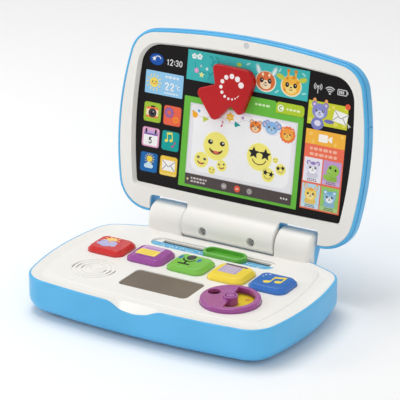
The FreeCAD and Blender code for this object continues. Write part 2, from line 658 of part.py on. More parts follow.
def battery_door():
    """Battery door plate with a sunk screw hole near its rear edge."""
    body = DOC.addObject("PartDesign::Body", "battery_door")
    plate = flat_sketch(body, "door_plate", "0")
    draw_rounded_rectangle(plate, "sizes.door_width - 2 * sizes.door_gap",
                           "sizes.door_depth - 2 * sizes.door_gap",
                           "sizes.door_corner - sizes.door_gap")
    pad(body, plate, "sizes.door_thick")
    sink = flat_sketch(body, "door_sink", "0")
    offset_circle(sink, "sizes.screw_head + 0.3", "sizes.door_screw_y")
    pocket(body, sink, "sizes.screw_head_high + 0.1")
    hole = flat_sketch(body, "door_hole", "0")
    offset_circle(hole, "sizes.screw_shank + 0.2", "sizes.door_screw_y")
    pocket(body, hole, "sizes.door_thick")
    return register(body, "battery_door",
                    spot(DECK_PLACE, size("door_x"), size("door_y"), SHELL_LOW))


battery_door()

plate_part("key_contact_board", "sizes.mat_width", "sizes.mat_depth", "3", "sizes.board_thick",
           spot(DECK_PLACE, size("key_row_x"), size("key_row_y"),
                -size("key_board_top") - size("board_thick")))

plate_part("slider_contact_board", "118", "14", "2", "sizes.board_thick",
           spot(DECK_PLACE, 0, size("slot_y") + 2.5,
                -size("slider_board_top") - size("board_thick")))

plate_part("main_circuit_board", "96", "38", "2", "sizes.board_thick",
           spot(DECK_PLACE, 0, 34.0, -22.0))


# ---------------------------------------------------------------- pieces from primitives

def primitive(kind, name, **links):
    """Part primitive whose sizes are sheet expressions; positions use Placement entries."""
    item = DOC.addObject(kind, name)
    bind(item, **links)
    return item


def at_point(item, x, y, z):
    """Tie the position of a primitive that is one piece of a larger shape."""
    links = {"Placement__Base__x": x, "Placement__Base__y": y, "Placement__Base__z": z}
    bind(item, **{name: value for name, value in links.items() if value is not None})
    return item


def cylinder(name, radius, height, x=None, y=None, z=None):
    return at_point(primitive("Part::Cylinder", name, Radius=radius, Height=height), x, y, z)


def box(name, length, width, height, x=None, y=None, z=None):
    return at_point(primitive("Part::Box", name, Length=length, Width=width, Height=height),
                    x, y, z)


def join(name, items):
    item = DOC.addObject("Part::MultiFuse", name)
    item.Shapes = items
    return item


def take_away(name, base, tool):
    item = DOC.addObject("Part::Cut", name)
    item.Base = base
    item.Tool = tool
    return item


def mat_with_domes():
    """Rubber mat with one hollow-free dome under each key."""
    items = [box("mat_sheet", "sizes.mat_width - 6", "sizes.mat_depth - 6", "sizes.mat_thick",
                 "-(sizes.mat_width - 6) / 2", "-(sizes.mat_depth - 6) / 2")]
    for step in (-2, -1, 0, 1, 2):
        items.append(cylinder("dome_%d" % (step + 2), "sizes.dome_radius",
                              "sizes.key_board_top - sizes.dome_top",
                              "%d * sizes.key_pitch" % step))
    return join("key_contact_mat", items)


register(mat_with_domes(), "key_contact_mat",
         spot(DECK_PLACE, size("key_row_x"), size("key_row_y"), -size("key_board_top")))


def speaker_frame():
    can = cylinder("speaker_can", "sizes.speaker_radius", "sizes.speaker_frame_deep")
    hole = cylinder("speaker_opening", "sizes.cone_radius + 0.4", "sizes.speaker_frame_deep + 2",
                    z="-1")
    return take_away("speaker_frame", can, hole)


SPEAKER_LOW = DECK_LOW - size("speaker_frame_deep")
register(speaker_frame(), "speaker_frame",
         spot(DECK_PLACE, size("speaker_x"), size("speaker_y"), SPEAKER_LOW))
cone = primitive("Part::Cone", "speaker_cone_core", Radius1="sizes.magnet_radius - 3",
                 Radius2="sizes.cone_radius", Height="sizes.speaker_frame_deep - 0.6")
register(cone, "speaker_cone",
         spot(DECK_PLACE, size("speaker_x"), size("speaker_y"), SPEAKER_LOW))
magnet = cylinder("speaker_magnet_core", "sizes.magnet_radius", "sizes.magnet_deep")
register(magnet, "speaker_magnet", spot(DECK_PLACE, size("speaker_x"), size("speaker_y"),
                                        SPEAKER_LOW - size("magnet_deep")))


def slot_label():
    """Printed strip stuck on the floor of the slider slot, in front of the slit."""
    low = -size("slot_depth")
    whole = stadium(size("slot_left") + 0.2, size("slot_right") - 0.2, size("slot_y"),
                    size("slot_radius") - 0.2, low, low + size("label_thick"))
    return whole.cut(block(-BIG, BIG, size("slit_low_y") - 0.4, BIG, -20, 20))


solid_part("slot_label", slot_label(), DECK_PLACE)


TRAY_LOW = -size("slot_depth") - size("tray_floor")
SLIT_MIDDLE = (size("slit_low_y") + size("slit_high_y")) / 2


def slider_ring():
    """Hollow ring handle with a neck that passes through the slit."""
    radius = size("ring_radius")
    half = size("ring_length") / 2
    low = -size("slot_depth") + size("ring_lift")
    wall = size("ring_wall")
    ring = stadium(-half, half, 0, radius, low, size("ring_top"))
    ring = ring.makeFillet(0.9, edges_at(ring, size("ring_top")))
    floor = low + size("ring_floor")
    ring = ring.cut(stadium(wall - half, half - wall, 0, radius - wall, floor, 10))
    across = SLIT_MIDDLE - size("slot_y")
    neck = size("neck_width") / 2
    length = size("neck_length") / 2
    stem = block(-length, length, across - neck, across + neck, TRAY_LOW - size("shoe_gap"),
                 floor)
    return ring.fuse(stem)


solid_part("slider_ring", slider_ring(), spot(DECK_PLACE, size("ring_x"), size("slot_y"), 0))
plate_part("slider_shoe", "sizes.shoe_length", "sizes.shoe_width", "1.5", "sizes.shoe_thick",
           spot(DECK_PLACE, size("ring_x"), SLIT_MIDDLE,
                TRAY_LOW - size("shoe_gap") - size("shoe_thick")))


def dial_disc():
    """Dial with a raised hub, a finger hole in its solid half and an open window opposite."""
    radius = size("dial_radius")
    low = -size("dial_well_depth") + size("dial_lift")
    top = size("dial_top")
    body = disc(0, 0, radius, low, top)
    body = body.makeFillet(1.2, edges_at(body, top))
    body = body.cut(disc(0, 0, radius - size("dial_skirt"), low - 1, top - size("dial_plate")))
    start = size("dial_window_low")
    window = Part.makeCylinder(radius - size("dial_rim"), 20, Vector(0, 0, low - 1),
                               Vector(0, 0, 1), size("dial_window_high") - start)
    window.rotate(Vector(), Vector(0, 0, 1), start)
    body = body.cut(window)
    body = body.cut(disc(size("dial_hole_x"), size("dial_hole_y"), size("dial_hole_radius"),
                         low - 1, top + 1))
    hub_top = top + size("dial_hub_rise")
    hub = disc(0, 0, size("dial_hub_radius"), low, hub_top)
    hub = hub.makeFillet(0.5, edges_at(hub, hub_top))
    ring = disc(0, 0, 4.6, top, hub_top + 1).cut(disc(0, 0, 3.8, top, hub_top + 1))
    axle = disc(0, 0, size("axle_radius"), -size("axle_low"), low)
    return body.fuse(hub).cut(ring).fuse(axle)


DIAL_AT = (size("dial_x"), size("dial_y"))
solid_part("dial_disc", dial_disc(), spot(DECK_PLACE, DIAL_AT[0], DIAL_AT[1], 0))
label_disc = cylinder("dial_label_face", "sizes.dial_well_radius - 0.3", "sizes.label_thick")
label_hole = cylinder("dial_label_hole", "sizes.axle_radius + 0.4", "2", z="-0.5")
register(take_away("dial_label", label_disc, label_hole), "dial_label",
         spot(DECK_PLACE, DIAL_AT[0], DIAL_AT[1], -size("dial_well_depth")))
keeper = cylinder("dial_keeper_disc", "sizes.keeper_radius", "sizes.keeper_thick")
keeper_hole = cylinder("dial_keeper_hole", "sizes.axle_radius", "4", z="-1")
register(take_away("dial_keeper", keeper, keeper_hole), "dial_keeper",
         spot(DECK_PLACE, DIAL_AT[0], DIAL_AT[1], -size("dial_well_depth") - 2.0
              - size("keeper_gap") - size("keeper_thick")))

for side, mark in ((-1, "left"), (1, "right")):
    pin = cylinder("hinge_pin_%s_rod" % mark, "sizes.pin_radius",
                   "sizes.pin_outer_x - sizes.pin_inner_x - 1")
    start = size("pin_inner_x") + 1.0 if side > 0 else -size("pin_outer_x")
    register(pin, "hinge_pin_" + mark,
             spot(DECK_PLACE, start, size("axis_y"), size("axis_z"), ALONG_X))
    ring = cylinder("washer_%s_disc" % mark, "sizes.washer_radius", "sizes.washer_thick")
    bore = cylinder("washer_%s_bore" % mark, "sizes.pin_radius", "2", z="-0.5")
    gap_middle = (size("knuckle_inner") + size("barrel_half")) / 2
    register(take_away("hinge_washer_" + mark, ring, bore), "hinge_washer_" + mark,
             spot(DECK_PLACE, side * gap_middle - size("washer_thick") / 2, size("axis_y"),
                  size("axis_z"), ALONG_X))

FEET = [(side * size("foot_%s_x" % end), size("foot_%s_y" % end))
        for end in ("front", "rear") for side in (-1, 1)]
for number, (x, y) in enumerate(FEET, start=1):
    foot = primitive("Part::Cone", "base_foot_%d_pad" % number, Radius1="sizes.foot_radius - 0.8",
                     Radius2="sizes.foot_radius", Height="sizes.foot_height")
    register(foot, "base_foot_%d" % number,
             spot(DECK_PLACE, x, y, SHELL_LOW - size("foot_height")))


def screw(name, x, y, length="sizes.screw_length"):
    """Pan-head screw, its head's outer face at the origin and its shank along +z."""
    head = cylinder(name + "_head", "sizes.screw_head", "sizes.screw_head_high", x, y)
    shank = cylinder(name + "_shank", "sizes.screw_shank", length, x, y)
    slot_a = box(name + "_slot_a", "3.6", "0.7", "0.9", "%s - 1.8" % x, "%s - 0.35" % y, "-0.2")
    slot_b = box(name + "_slot_b", "0.7", "3.6", "0.9", "%s - 0.35" % x, "%s - 1.8" % y, "-0.2")
    return take_away(name, join(name + "_body", [head, shank]),
                     join(name + "_cross", [slot_a, slot_b]))


case_screws = [screw("case_screw_%d" % number, "%g" % x, "%g" % y, "sizes.case_screw_length")
               for number, (x, y) in enumerate(screw_posts(), start=1)]
register(join("base_case_screws", case_screws), "base_case_screws",
         spot(DECK_PLACE, 0, 0, SHELL_LOW + size("case_screw_rise")))

BATTERY_Y = size("door_y") + size("battery_shift")
BATTERY_LOW = SHELL_LOW + size("door_thick") + 0.3
for number, offset in enumerate((-0.5, 0.5), start=1):
    cell = cylinder("battery_%d_can" % number, "sizes.battery_radius",
                    "sizes.battery_length")
    tip = cylinder("battery_%d_tip" % number, "2.6", "sizes.battery_length + 1.2")
    register(join("battery_%d" % number, [cell, tip]), "battery_%d" % number,
             spot(DECK_PLACE, -size("battery_length") / 2,
                  BATTERY_Y + offset * size("battery_gap"),
                  BATTERY_LOW + size("battery_radius"), ALONG_X))

for mark, x in (("left", -25.6), ("right", 26.4)):
    strip = box("battery_contact_%s_strip" % mark, "0.4", "26", "8")
    register(strip, "battery_contact_" + mark,
             spot(DECK_PLACE, x, BATTERY_Y - 13.0, BATTERY_LOW + 4.0))


def battery_box():
    """Open-bottomed tray that holds the two cells above the door."""
    outside = battery_box_block()
    room = block(-28.0, 28.0, BATTERY_Y - 15.5, BATTERY_Y + 15.5, SHELL_LOW,
                 BATTERY_LOW + 2 * size("battery_radius") + 0.3)
    return outside.cut(room)


solid_part("battery_box", battery_box(), DECK_PLACE)


# ---------------------------------------------------------------- lid

BEZEL_LOW = size("bezel_front") - size("bezel_thick")
LID_LOW = -size("lid_back")


def notch(side, grow=0.0):
    """Gap in the lid's lower edge for one knuckle."""
    inner, outer = size("notch_inner") - grow, size("notch_outer") + grow
    low, high = (inner, outer) if side > 0 else (-outer, -inner)
    top = size("notch_top") + grow
    return rounded_block((low + high) / 2, top - 40, high - low, 80,
                         size("notch_corner") + grow, -40, 40)


def barrel(radius):
    """Round bar along the hinge axis between the two knuckles."""
    half = size("barrel_half")
    return Part.makeCylinder(radius, 2 * half, Vector(-half, 0, 0), Vector(1, 0, 0))


def barrel_front():
    """White front of the barrel, blended into the lid's front face by a concave curve."""
    radius = size("barrel_radius")
    face = size("bezel_front")
    bend = size("barrel_blend")
    reach = math.sqrt((radius + bend) ** 2 - (face + bend) ** 2)
    share = radius / (radius + bend)
    join_y, join_z = reach * share, (face + bend) * share
    centre = Vector(0, reach, face + bend)
    chord_middle = Vector(0, (join_y + reach) / 2, (join_z + face) / 2)
    mid = toward(centre, chord_middle, bend)
    low_y = -math.sqrt(radius ** 2 - BEZEL_LOW ** 2)
    outline = [line(low_y, BEZEL_LOW, reach, BEZEL_LOW), line(reach, BEZEL_LOW, reach, face),
               arc(reach, face, mid.y, mid.z, join_y, join_z),
               arc(join_y, join_z, 0, radius, low_y, BEZEL_LOW)]
    half = size("barrel_half")
    bar = profile_bar(outline, -half, half)
    ends = [edge for edge in bar.Edges if edge.BoundBox.XLength < 1e-4
            and edge.BoundBox.ZMax > radius - 0.5]
    return bar.makeFillet(1.2, ends)


def barrel_bores():
    """Blind bores for the two pins, with running clearance."""
    radius = size("pin_radius") + size("pin_clearance")
    half = size("barrel_half") + 5
    deep = size("pin_inner_x")
    return [Part.makeCylinder(radius, half - deep, Vector(start, 0, 0), Vector(1, 0, 0))
            for start in (deep, -half)]


def lid_posts():
    """The four places where the lid screws stand."""
    return [(-114.5, 62.0), (114.5, 62.0), (-60.0, 163.3), (60.0, 163.3)]


def build_lid_bezel():
    front = size("bezel_front")
    plate = raise_wire(lid_outline(size("deck_fit"), BEZEL_LOW), size("bezel_thick"))
    plate = plate.makeFillet(0.8, edges_at(plate, front))
    wall_low = size("panel_face")
    draft = size("panel_draft")
    collar = Part.makeLoft([panel_outline(draft - 1.8, wall_low),
                            panel_outline(-1.8, BEZEL_LOW + 0.2)], True, True)
    opening = Part.makeLoft([panel_outline(draft + 0.1, wall_low - 0.2),
                             panel_outline(-0.1, front + 0.2)], True, True)
    plate = plate.fuse(collar).cut(opening).fuse(barrel_front())
    for x, y in lid_posts():
        plate = plate.fuse(disc(x, y, size("post_radius"), 0.1, BEZEL_LOW))
    for side in (1, -1):
        plate = plate.cut(notch(side))
    level = size("barrel_screw_level")
    shank = size("screw_shank") + size("screw_fit")
    for side in (1, -1):
        x, y = side * size("barrel_screw_x"), size("barrel_screw_y")
        plate = plate.cut(disc(x, y, size("barrel_pocket_radius"),
                               level - size("screw_head_high"), 40))
        plate = plate.cut(disc(x, y, shank, -1, level))
    for x, y in lid_posts():
        plate = plate.cut(disc(x, y, shank, 0, BEZEL_LOW + 0.6))
    dimple = disc(0, size("lens_y"), size("lens_radius"), front - size("lens_depth"), 20)
    return plate.cut(dimple)


def build_lid_back_shell():
    rim_front = size("lid_rim_front")
    groove_low, groove_top = size("groove_low"), size("groove_top")
    out = size("band_out")
    band = raise_wire(lid_outline(-out, LID_LOW), groove_low - LID_LOW)
    band = band.makeFillet(size("lid_back_round"), edges_at(band, LID_LOW))
    neck = raise_wire(lid_outline(size("groove_depth") - out, groove_low - 1),
                      groove_top - groove_low + 2)
    rim = raise_wire(lid_outline(-size("lid_rim"), groove_top), rim_front - groove_top)
    rim = rim.makeFillet(0.8, edges_at(rim, rim_front))
    step = block(-BIG, BIG, size("step_y"), size("step_y") + size("step_width"), -40, groove_low)
    step = step.cut(raise_wire(lid_outline(size("step_depth") - out, LID_LOW - 10), 60))
    outer = band.cut(step).fuse(neck).fuse(rim)
    wall = size("lid_wall")
    ledge = BEZEL_LOW - 2.6
    cavity = raise_wire(lid_outline(wall - out, LID_LOW + wall), ledge - LID_LOW - wall)
    cavity = cavity.makeFillet(size("lid_back_round") - 2.5, edges_at(cavity, LID_LOW + wall))
    cavity = cavity.fuse(raise_wire(lid_outline(1.6, ledge - 1), BEZEL_LOW - ledge + 1))
    for side in (1, -1):
        cavity = cavity.cut(notch(side, wall))
    for x, y in lid_posts():
        cavity = cavity.cut(disc(x, y, size("post_radius"), LID_LOW, 0))
    half = size("barrel_half")
    cavity = cavity.cut(block(-half, half, -40, 17.5, LID_LOW, BEZEL_LOW))
    seat = raise_wire(lid_outline(0.0, BEZEL_LOW), 20)
    round_back = barrel(size("barrel_radius")).common(block(-60, 60, -40, 40, -40, BEZEL_LOW))
    shell = outer.cut(cavity).cut(seat)
    shell = shell.cut(block(-half - 1, half + 1, -40, 20, BEZEL_LOW, 40)).fuse(round_back)
    for side in (1, -1):
        shell = shell.cut(notch(side))
    for tool in barrel_bores():
        shell = shell.cut(tool)
    shank = size("screw_shank") + size("screw_fit")
    for side in (1, -1):
        shell = shell.cut(disc(side * size("barrel_screw_x"), size("barrel_screw_y"), shank,
                               -1.0, BEZEL_LOW + 1))
    for x, y in lid_posts():
        head_seat = LID_LOW + size("lid_screw_rise") + size("screw_head_high")
        shell = shell.cut(disc(x, y, size("screw_head") + 0.3, LID_LOW - 1, head_seat))
        shell = shell.cut(disc(x, y, size("screw_shank") + 0.3, LID_LOW, BEZEL_LOW))
    return shell


solid_part("lid_bezel", build_lid_bezel(), LID_PLACE)
solid_part("lid_back_shell", build_lid_back_shell(), LID_PLACE)


def build_panel():
    """Black picture panel behind the opening, with a bore for the arrow's axle."""
    margin = size("panel_draft") - size("panel_margin")
    top = size("panel_face")
    plate = raise_wire(panel_outline(margin, top - size("panel_thick")), size("panel_thick"))
    bore = size("arrow_axle_radius") + size("arrow_axle_clearance")
    return plate.cut(disc(size("arrow_x"), size("arrow_y"), bore, -20, 20))


solid_part("screen_panel", build_panel(), LID_PLACE)


def rounded_polygon(corners, level):
    """Closed wire through corners, each given as x, y and its rounding radius."""
    count = len(corners)
    cuts = []
    for index, (x, y, bend) in enumerate(corners):
        here = Vector(x, y, level)
        before = Vector(corners[index - 1][0], corners[index - 1][1], level)
        after = Vector(corners[(index + 1) % count][0], corners[(index + 1) % count][1], level)
        ray_a = before.sub(here).normalize()
        ray_b = after.sub(here).normalize()
        half = ray_a.getAngle(ray_b) / 2
        reach = bend / math.tan(half)
        middle = ray_a.add(ray_b).normalize()
        bulge = here.add(middle * (bend / math.sin(half) - bend))
        cuts.append((here.add(ray_a * reach), bulge, here.add(ray_b * reach)))
    edges = []
    for index, (start, bulge, end) in enumerate(cuts):
        edges.append(Part.Arc(start, bulge, end).toShape())
        edges.append(Part.makeLine(end, cuts[(index + 1) % count][0]))
    return Part.Wire(edges)


def build_arrow():
    """Pointer-shaped handle, its head up and to the right, with an axle behind it."""
    corners = [(-19.3, 23.0, 4.0), (27.2, 22.0, 11.0), (13.2, -21.0, 4.0), (2.2, -12.0, 2.0),
               (-13.3, -29.5, 5.0), (-34.8, -2.5, 5.0), (-14.8, 4.8, 2.0)]
    low, top = size("arrow_low"), size("arrow_top")
    body = raise_wire(rounded_polygon(corners, low), top - low)
    body = body.makeFillet(1.2, edges_at(body, top))
    back = size("panel_face") - size("panel_thick")
    return body.fuse(disc(0, 0, size("arrow_axle_radius"), back - 3.6, low))


solid_part("cursor_arrow", build_arrow(), spot(LID_PLACE, size("arrow_x"), size("arrow_y"), 0))
clip = cylinder("arrow_clip_disc", "sizes.arrow_keeper_radius", "sizes.arrow_keeper_thick")
clip_bore = cylinder("arrow_clip_bore", "sizes.arrow_axle_radius", "4", z="-1")
register(take_away("cursor_keeper", clip, clip_bore), "cursor_keeper",
         spot(LID_PLACE, size("arrow_x"), size("arrow_y"),
              size("panel_face") - size("panel_thick") - size("keeper_gap")
              - size("arrow_keeper_thick")))
lens = cylinder("webcam_lens_disc", "sizes.lens_radius - 0.1", "0.5")
register(lens, "webcam_lens", spot(LID_PLACE, 0, size("lens_y"), size("bezel_front") - size("lens_depth")))
plate_part("screen_contact_board", "70", "40", "2", "sizes.board_thick",
           spot(LID_PLACE, 42.0, 95.0, -4.0))

barrel_pair = [screw("barrel_screw_%d" % number, "%g" % x, "0")
               for number, x in enumerate((-size("barrel_screw_x"), size("barrel_screw_x")),
                                          start=1)]
register(join("barrel_screws", barrel_pair), "barrel_screws",
         spot(LID_PLACE, 0, size("barrel_screw_y"), size("barrel_screw_level"), FACE_DOWN))
lid_set = [screw("lid_screw_%d" % number, "%g" % x, "%g" % y)
           for number, (x, y) in enumerate(lid_posts(), start=1)]
register(join("lid_screws", lid_set), "lid_screws",
         spot(LID_PLACE, 0, 0, LID_LOW + size("lid_screw_rise")))

register(screw("door_screw", "0", "0"), "battery_door_screw",
         spot(DECK_PLACE, size("door_x"), size("door_y") + size("door_screw_y"), SHELL_LOW + 0.1))


# ---------------------------------------------------------------- check and write

def check_document():
    DOC.recompute()
    for item in DOC.Objects:
        if "Invalid" in item.State or "Error" in item.State:
            raise RuntimeError("%s did not compute: %s" % (item.Name, item.State))
    for item in SUBPARTS:
        if item.Shape.isNull() or not item.Shape.isValid() or not item.Shape.Solids:
            raise RuntimeError("%s has no valid solid" % item.Label)


def write_parts():
    os.makedirs("parts", exist_ok=True)
    bounds = FreeCAD.BoundBox()
    for item in SUBPARTS:
        item.Shape.exportStep("parts/%s.step" % item.Label)
        bounds.add(item.Shape.BoundBox)
    print("sub-parts:", len(SUBPARTS))
    print("x %.2f to %.2f, y %.2f to %.2f, z %.2f to %.2f" % (
        bounds.XMin, bounds.XMax, bounds.YMin, bounds.YMax, bounds.ZMin, bounds.ZMax))


check_document()
write_parts()
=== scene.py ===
"""Looks for the toy laptop: moulded plastics, printed pictures, studio light and camera."""

import json
import math

import bmesh
import bpy
from mathutils import Matrix, Vector


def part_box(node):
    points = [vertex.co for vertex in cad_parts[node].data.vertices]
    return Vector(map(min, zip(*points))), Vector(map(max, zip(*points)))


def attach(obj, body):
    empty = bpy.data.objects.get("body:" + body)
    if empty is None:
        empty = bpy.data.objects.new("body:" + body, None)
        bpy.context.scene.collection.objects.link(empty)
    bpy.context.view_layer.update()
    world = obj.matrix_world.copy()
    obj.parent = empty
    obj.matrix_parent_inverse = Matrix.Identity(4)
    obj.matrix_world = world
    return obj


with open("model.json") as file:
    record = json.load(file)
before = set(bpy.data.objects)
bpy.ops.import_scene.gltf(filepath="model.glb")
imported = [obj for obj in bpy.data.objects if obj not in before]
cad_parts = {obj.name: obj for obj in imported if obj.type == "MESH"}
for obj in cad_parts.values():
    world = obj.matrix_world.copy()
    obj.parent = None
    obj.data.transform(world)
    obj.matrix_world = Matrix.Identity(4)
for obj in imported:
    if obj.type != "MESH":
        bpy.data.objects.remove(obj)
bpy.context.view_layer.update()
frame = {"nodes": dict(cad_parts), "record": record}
MM = 0.001


# -------- materials

def linear(rgb):
    """An 8-bit sRGB colour as linear RGBA."""
    def one(value):
        value = value / 255.0
        return value / 12.92 if value <= 0.04045 else ((value + 0.055) / 1.055) ** 2.4
    return (one(rgb[0]), one(rgb[1]), one(rgb[2]), 1.0)


def shade(rgb, factor):
    """The same colour, lighter above 1 and darker below."""
    if factor > 1:
        return tuple(round(c + (255 - c) * (factor - 1)) for c in rgb)
    return tuple(round(c * factor) for c in rgb)


class Nodes:
    """Short way to add and link shader nodes."""

    def __init__(self, name):
        self.material = bpy.data.materials.new(name)
        self.material.use_nodes = True
        self.tree = self.material.node_tree
        self.tree.nodes.clear()
        self.output = self.add("ShaderNodeOutputMaterial")
        self.shader = self.add("ShaderNodeBsdfPrincipled")
        self.link(self.shader.outputs["BSDF"], self.output.inputs["Surface"])
        self.place = self.add("ShaderNodeTexCoord").outputs["Object"]

    def add(self, kind, inputs=None, **settings):
        """New node of a kind, with its settings and inputs."""
        node = self.tree.nodes.new(kind)
        for key, value in settings.items():
            setattr(node, key, value)
        for key, value in (inputs or {}).items():
            self.fill(node.inputs[key], value)
        return node

    def link(self, start, end):
        """Join an output socket to an input socket."""
        self.tree.links.new(start, end)

    def fill(self, socket, value):
        """Give an input a plain value, or link it to an output socket."""
        if isinstance(value, bpy.types.NodeSocket):
            self.link(value, socket)
        else:
            socket.default_value = value

    def feed(self, name, value):
        """Give one of the shader's own inputs its value."""
        self.fill(self.shader.inputs[name], value)

    def noise(self, scale, detail=3.0, stretch=None):
        """Noise over object space, in metres, stretched along the axes if asked."""
        place = self.place
        if stretch:
            mapping = self.add("ShaderNodeMapping", {"Vector": place, "Scale": stretch})
            place = mapping.outputs["Vector"]
        node = self.add("ShaderNodeTexNoise", {"Vector": place, "Scale": scale, "Detail": detail})
        return node.outputs["Fac"]

    def spread(self, factor, low, high, out_low, out_high):
        """A value's range from low to high, mapped onto another range."""
        node = self.add("ShaderNodeMapRange", {"Value": factor, "From Min": low, "From Max": high,
                                               "To Min": out_low, "To Max": out_high})
        return node.outputs["Result"]

    def mix(self, factor, first, second):
        """Blend of two colours, each a tuple or an output socket."""
        node = self.add("ShaderNodeMix", {0: factor, 6: first, 7: second}, data_type="RGBA")
        return node.outputs[2]

    def bump(self, height, strength, distance, under=None):
        """Relief from a height, over another relief if one is given."""
        node = self.add("ShaderNodeBump",
                        {"Height": height, "Strength": strength, "Distance": distance})
        if under is not None:
            self.link(under, node.inputs["Normal"])
        return node.outputs["Normal"]


def plastic(name, rgb, rough=0.32, grain=0.10, scatter=0.0, coat=0.0, scuffs=0.25, vary=0.035,
            sheen=0.5):
    """Moulded plastic: slow tint drift, fine mould grain and faint handling scuffs."""
    n = Nodes(name)
    drift = n.spread(n.noise(14.0, 2.0), 0.35, 0.65, 0.0, 1.0)
    tint = n.mix(drift, linear(shade(rgb, 1.0 - vary)), linear(shade(rgb, 1.0 + vary)))
    marks = n.noise(90.0, 6.0, (1.0, 7.0, 2.5))
    scuff = n.spread(marks, 0.60, 0.85, 0.0, scuffs * 0.6)
    n.feed("Base Color", n.mix(scuff, tint, linear(shade(rgb, 1.05))))
    n.feed("Roughness", n.spread(n.noise(38.0, 4.0), 0.3, 0.7, rough - 0.02, rough + 0.03))
    fine = n.bump(n.noise(2600.0, 2.0), grain, 0.00006)
    n.feed("Normal", n.bump(n.noise(12.0, 1.0), 0.04, 0.0006, fine))
    n.feed("Specular IOR Level", sheen)
    if coat:
        n.feed("Coat Weight", coat)
        n.feed("Coat Roughness", 0.12)
    if scatter:
        n.feed("Subsurface Weight", scatter)
        n.feed("Subsurface Radius", (1.0, 0.9, 0.8))
        n.feed("Subsurface Scale", 0.002)
    return n.material


def ink(name, rgb, rough=0.30):
    """Printed ink under a thin varnish: fine dot mottle and slight density drift."""
    n = Nodes(name)
    mottle = n.spread(n.noise(1400.0, 2.0), 0.3, 0.7, 0.0, 1.0)
    dense = n.mix(mottle, linear(shade(rgb, 0.965)), linear(shade(rgb, 1.03)))
    drift = n.spread(n.noise(30.0, 2.0), 0.4, 0.7, 0.0, 0.35)
    n.feed("Base Color", n.mix(drift, dense, linear(shade(rgb, 1.06))))
    n.feed("Roughness", n.spread(n.noise(60.0, 3.0), 0.3, 0.7, rough - 0.04, rough + 0.08))
    n.feed("Normal", n.bump(n.noise(1800.0, 2.0), 0.06, 0.00004))
    n.feed("Specular IOR Level", 0.2)
    return n.material


def metal(name, rgb, rough=0.3, brushed=(1.0, 1.0, 30.0)):
    """Plated steel with a fine directional brush and slightly tarnished patches."""
    n = Nodes(name)
    tarnish = n.spread(n.noise(120.0, 5.0), 0.4, 0.75, 0.0, 0.5)
    n.feed("Base Color", n.mix(tarnish, linear(rgb), linear(shade(rgb, 0.72))))
    lines = n.noise(900.0, 3.0, brushed)
    n.feed("Roughness", n.spread(lines, 0.3, 0.7, rough - 0.08, rough + 0.12))
    n.feed("Normal", n.bump(lines, 0.12, 0.00005))
    n.feed("Metallic", 1.0)
    return n.material


def rubber(name, rgb):
    """Soft rubber, dusty in patches, with a fine pitted surface."""
    n = Nodes(name)
    dust = n.spread(n.noise(160.0, 6.0), 0.45, 0.75, 0.0, 0.45)
    n.feed("Base Color", n.mix(dust, linear(rgb), linear(shade(rgb, 1.16))))
    n.feed("Roughness", n.spread(n.noise(90.0, 3.0), 0.3, 0.7, 0.68, 0.88))
    n.feed("Normal", n.bump(n.noise(1600.0, 4.0), 0.35, 0.00012))
    return n.material


def board(name, rgb):
    """Circuit board: green mask over raised copper tracks."""
    n = Nodes(name)
    tracks = n.add("ShaderNodeTexBrick", {"Vector": n.place, "Scale": 120.0, "Mortar Size": 0.03})
    copper = n.spread(tracks.outputs["Fac"], 0.0, 1.0, 0.0, 0.6)
    weave = n.spread(n.noise(500.0, 3.0), 0.3, 0.7, 0.0, 0.4)
    base = n.mix(weave, linear(rgb), linear(shade(rgb, 0.8)))
    n.feed("Base Color", n.mix(copper, base, linear(shade(rgb, 1.25))))
    n.feed("Normal", n.bump(tracks.outputs["Fac"], 0.3, 0.0001))
    n.feed("Roughness", n.spread(n.noise(80.0, 2.0), 0.3, 0.7, 0.35, 0.5))
    return n.material


def paper_cone(name, rgb):
    """Pressed paper speaker cone with fibres."""
    n = Nodes(name)
    fibres = n.noise(700.0, 6.0, (1.0, 5.0, 1.0))
    pressed = n.spread(fibres, 0.35, 0.7, 0.0, 1.0)
    n.feed("Base Color", n.mix(pressed, linear(rgb), linear(shade(rgb, 1.15))))
    n.feed("Normal", n.bump(fibres, 0.5, 0.0002))
    n.feed("Roughness", n.spread(fibres, 0.3, 0.7, 0.75, 0.9))
    return n.material


BLUE = (84, 186, 238)
WHITE = (243, 241, 236)
SLOT_LOOKS = {
    "blue_shell": plastic("blue_shell", BLUE, 0.30, 0.14, 0.05, scuffs=0.22),
    "white_shell": plastic("white_shell", WHITE, 0.36, 0.16, 0.05, scuffs=0.30, vary=0.012),
    "dial_purple": plastic("dial_purple", (158, 62, 148), 0.20, 0.05, 0.08, 0.35),
    "ring_green": plastic("ring_green", (92, 178, 54), 0.22, 0.05, 0.08, 0.3),
    "arrow_red": plastic("arrow_red", (190, 10, 18), 0.24, 0.05, 0.04, 0.0, sheen=0.35),
    "panel_black": plastic("panel_black", (20, 17, 18), 0.34, 0.04, scuffs=0.12, vary=0.02,
                           sheen=0.16),
    "pad_taupe": plastic("pad_taupe", (114, 102, 88), 0.46, 0.30, scuffs=0.2),
    "label_blue": ink("label_blue", (116, 190, 226), 0.4),
    "label_yellow": ink("label_yellow", (244, 214, 52), 0.4),
    "lens_white": plastic("lens_white", (214, 218, 220), 0.18, 0.02, coat=0.5),
    "inner_plastic": plastic("inner_plastic", (190, 190, 186), 0.5, 0.3),
    "board_green": board("board_green", (36, 108, 66)),
    "rubber_grey": rubber("rubber_grey", (150, 150, 150)),
    "rubber_foot": rubber("rubber_foot", (60, 62, 66)),
    "cone_paper": paper_cone("cone_paper", (45, 45, 48)),
    "steel": metal("steel", (176, 178, 182), 0.30),
    "battery_can": metal("battery_can", (116, 120, 118), 0.34, (30.0, 1.0, 1.0)),
}
